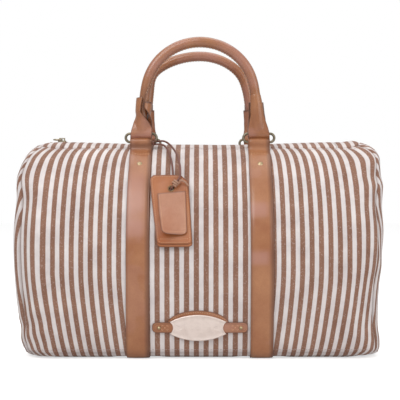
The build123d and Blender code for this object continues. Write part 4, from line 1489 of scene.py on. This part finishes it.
def flap_limits(b):
    """Flap outline: narrower at the foot, with rounded lower corners."""
    down = min(1.0, max(0.0, (FLAP_HINGE - b) / 0.0575))
    radius = 0.0060
    rest = max(0.0, (FLAP_FOOT + radius) - b)
    corner = radius - math.sqrt(max(0.0, radius**2 - rest**2))
    return -0.0180 - 0.0010 * down + 0.0022 * down**2 + corner, 0.0185 - 0.0035 * down - corner


flap = tag_sheet(
    "tag_flap_leather", FLAP_FOOT, FLAP_HINGE, flap_limits, 0.0013, 0.0026, flap_leather, warp=flap_warp,
    point=flap_point,
)
place(flap, "flap", "tan_leather", "tag_flap")


def tag_runs(corners, height, warp=tag_bend, point=tag_point):
    runs = []
    for start, end in zip(corners, corners[1:]):
        line = [point(a, b, height + warp(a, b)) for a, b in np.linspace(start, end, 14)]
        runs.append((line, [tag_normal] * len(line)))
    return runs


TAG_STITCH = (0.0028, 0.0021, 0.0005)
border = [
    (-0.0240, 0.0115), (-0.0224, -0.0695), (-0.0200, -0.0718), (0.0158, -0.0718), (0.0182, -0.0695),
    (0.0204, 0.0080), (0.0125, 0.0164), (-0.0200, 0.0164), (-0.0240, 0.0115),
]
low_line = [(-0.0205, -0.0672), (0.0165, -0.0672)]
stitches("tag_stitching", tag_runs(border, 0.0023) + tag_runs(low_line, 0.0023), TAG_STITCH, "tag")
flap_border = [(-0.0160, -0.0075), (-0.0148, -0.0585), (0.0128, -0.0585), (0.0162, -0.0075)]
flap_runs = tag_runs(flap_border, 0.00395, flap_warp, flap_point)
stitches("flap_stitching", flap_runs, TAG_STITCH, "flap")


# ---- knot and hitch of the lace ----
def wound_lace(name, centre, axis, radius, turns, rise, node, material, tail=None):
    """Lace wound in a short helix round a strand or a ring's bar."""
    axis = unit(axis)
    side = unit(np.cross(axis, [0.3, 0.2, 0.9]))
    other = np.cross(axis, side)
    line = []
    for t in np.linspace(0, turns, int(20 * turns) + 1):
        turn = 2 * math.pi * t
        line.append(centre + axis * (rise * (t - turns / 2)) + side * radius * math.cos(turn)
                    + other * radius * math.sin(turn))
    if tail is not None:
        line += list(spline([line[-1], *[np.array(p) for p in tail]], 8)[1:])
    step = directions(np.array(line))
    sides = [unit(np.cross(direction, axis + 0.01)) for direction in step]
    ups = [np.cross(s, direction) for s, direction in zip(sides, step)]
    sections = [ellipse(LACE_DIAMETER / 2, LACE_DIAMETER / 2, 10)] * len(line)
    return place(swept(name, line, sides, ups, sections, material), "lace", "tan_leather", node)


hitch = wound_lace(
    "lace_hitch_wrap", np.array([-0.0633, -0.053, 0.2885]), (1, 0, 0), 0.0040, 1.0, 0.0026, "lace_hitch",
    lace_leather,
)
knot_corner = np.array(LACE_ROUTE[9])
knot_axis = unit(knot_corner - np.array(LACE_ROUTE[8]))
knot_centre = np.array(LACE_ROUTE[8]) + knot_axis * 0.008
knot = wound_lace(
    "lace_knot_wrap", knot_centre, knot_axis, 0.0036, 2.3, 0.0027, "lace_knot", knot_leather_highlit,
    tail=[knot_centre + np.array([0.007, -0.001, 0.004]), knot_centre + np.array([0.013, 0.0, 0.0015]),
          knot_centre + np.array([0.0175, 0.0005, -0.0035])],
)

# ---- CAD pieces that keep their shape ----
FINISHES = {
    ring_metal: ["front_ring_left", "front_ring_right", "back_ring_left", "back_ring_right"],
    rivet_metal: ["strap_rivets", "plate_rivets"],
    eyelet_metal: ["tag_eyelet"],
    zip_metal: ["zip_slider", "zip_pull", "zip_stops"],
    board_cover: ["base_board"],
}
for finish, names in FINISHES.items():
    for node_name in names:
        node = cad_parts[node_name]
        if not node.material_slots:
            node.data.materials.append(None)
        for material_slot in node.material_slots:
            material_slot.material = finish


# ---- stage and light ----
floor = add_mesh(
    "floor", [(-6, -6, -0.0002), (6, -6, -0.0002), (6, 6, -0.0002), (-6, 6, -0.0002)], [(0, 1, 2, 3)],
    floor_material(),
)


def area_light(name, location, target, size, power):
    data = bpy.data.lights.new(name, "AREA")
    data.shape = "RECTANGLE"
    data.size, data.size_y = size
    data.energy = power
    light = bpy.data.objects.new(name, data)
    light.location = location
    direction = Vector(target) - Vector(location)
    light.rotation_euler = direction.to_track_quat("-Z", "Y").to_euler()
    bpy.context.scene.collection.objects.link(light)


area_light("key_light", (-0.9, -1.6, 1.7), (0, 0, 0.15), (1.6, 1.2), 23)
area_light("fill_light", (1.4, -1.3, 0.9), (0, 0, 0.15), (1.4, 1.4), 10)
area_light("top_light", (0, 0.3, 2.2), (0, 0, 0.1), (2.0, 2.0), 19)
world = bpy.data.worlds.new("studio")
world.use_nodes = True
background = world.node_tree.nodes["Background"]
background.inputs["Color"].default_value = (1, 1, 1, 1)
seen = world.node_tree.nodes.new("ShaderNodeLightPath")
strength = world.node_tree.nodes.new("ShaderNodeMapRange")
strength.inputs["To Min"].default_value = 0.48
strength.inputs["To Max"].default_value = 1.0
world.node_tree.links.new(seen.outputs["Is Camera Ray"], strength.inputs["Value"])
world.node_tree.links.new(strength.outputs["Result"], background.inputs["Strength"])
bpy.context.scene.world = world
bpy.context.scene.view_settings.view_transform = "Standard"
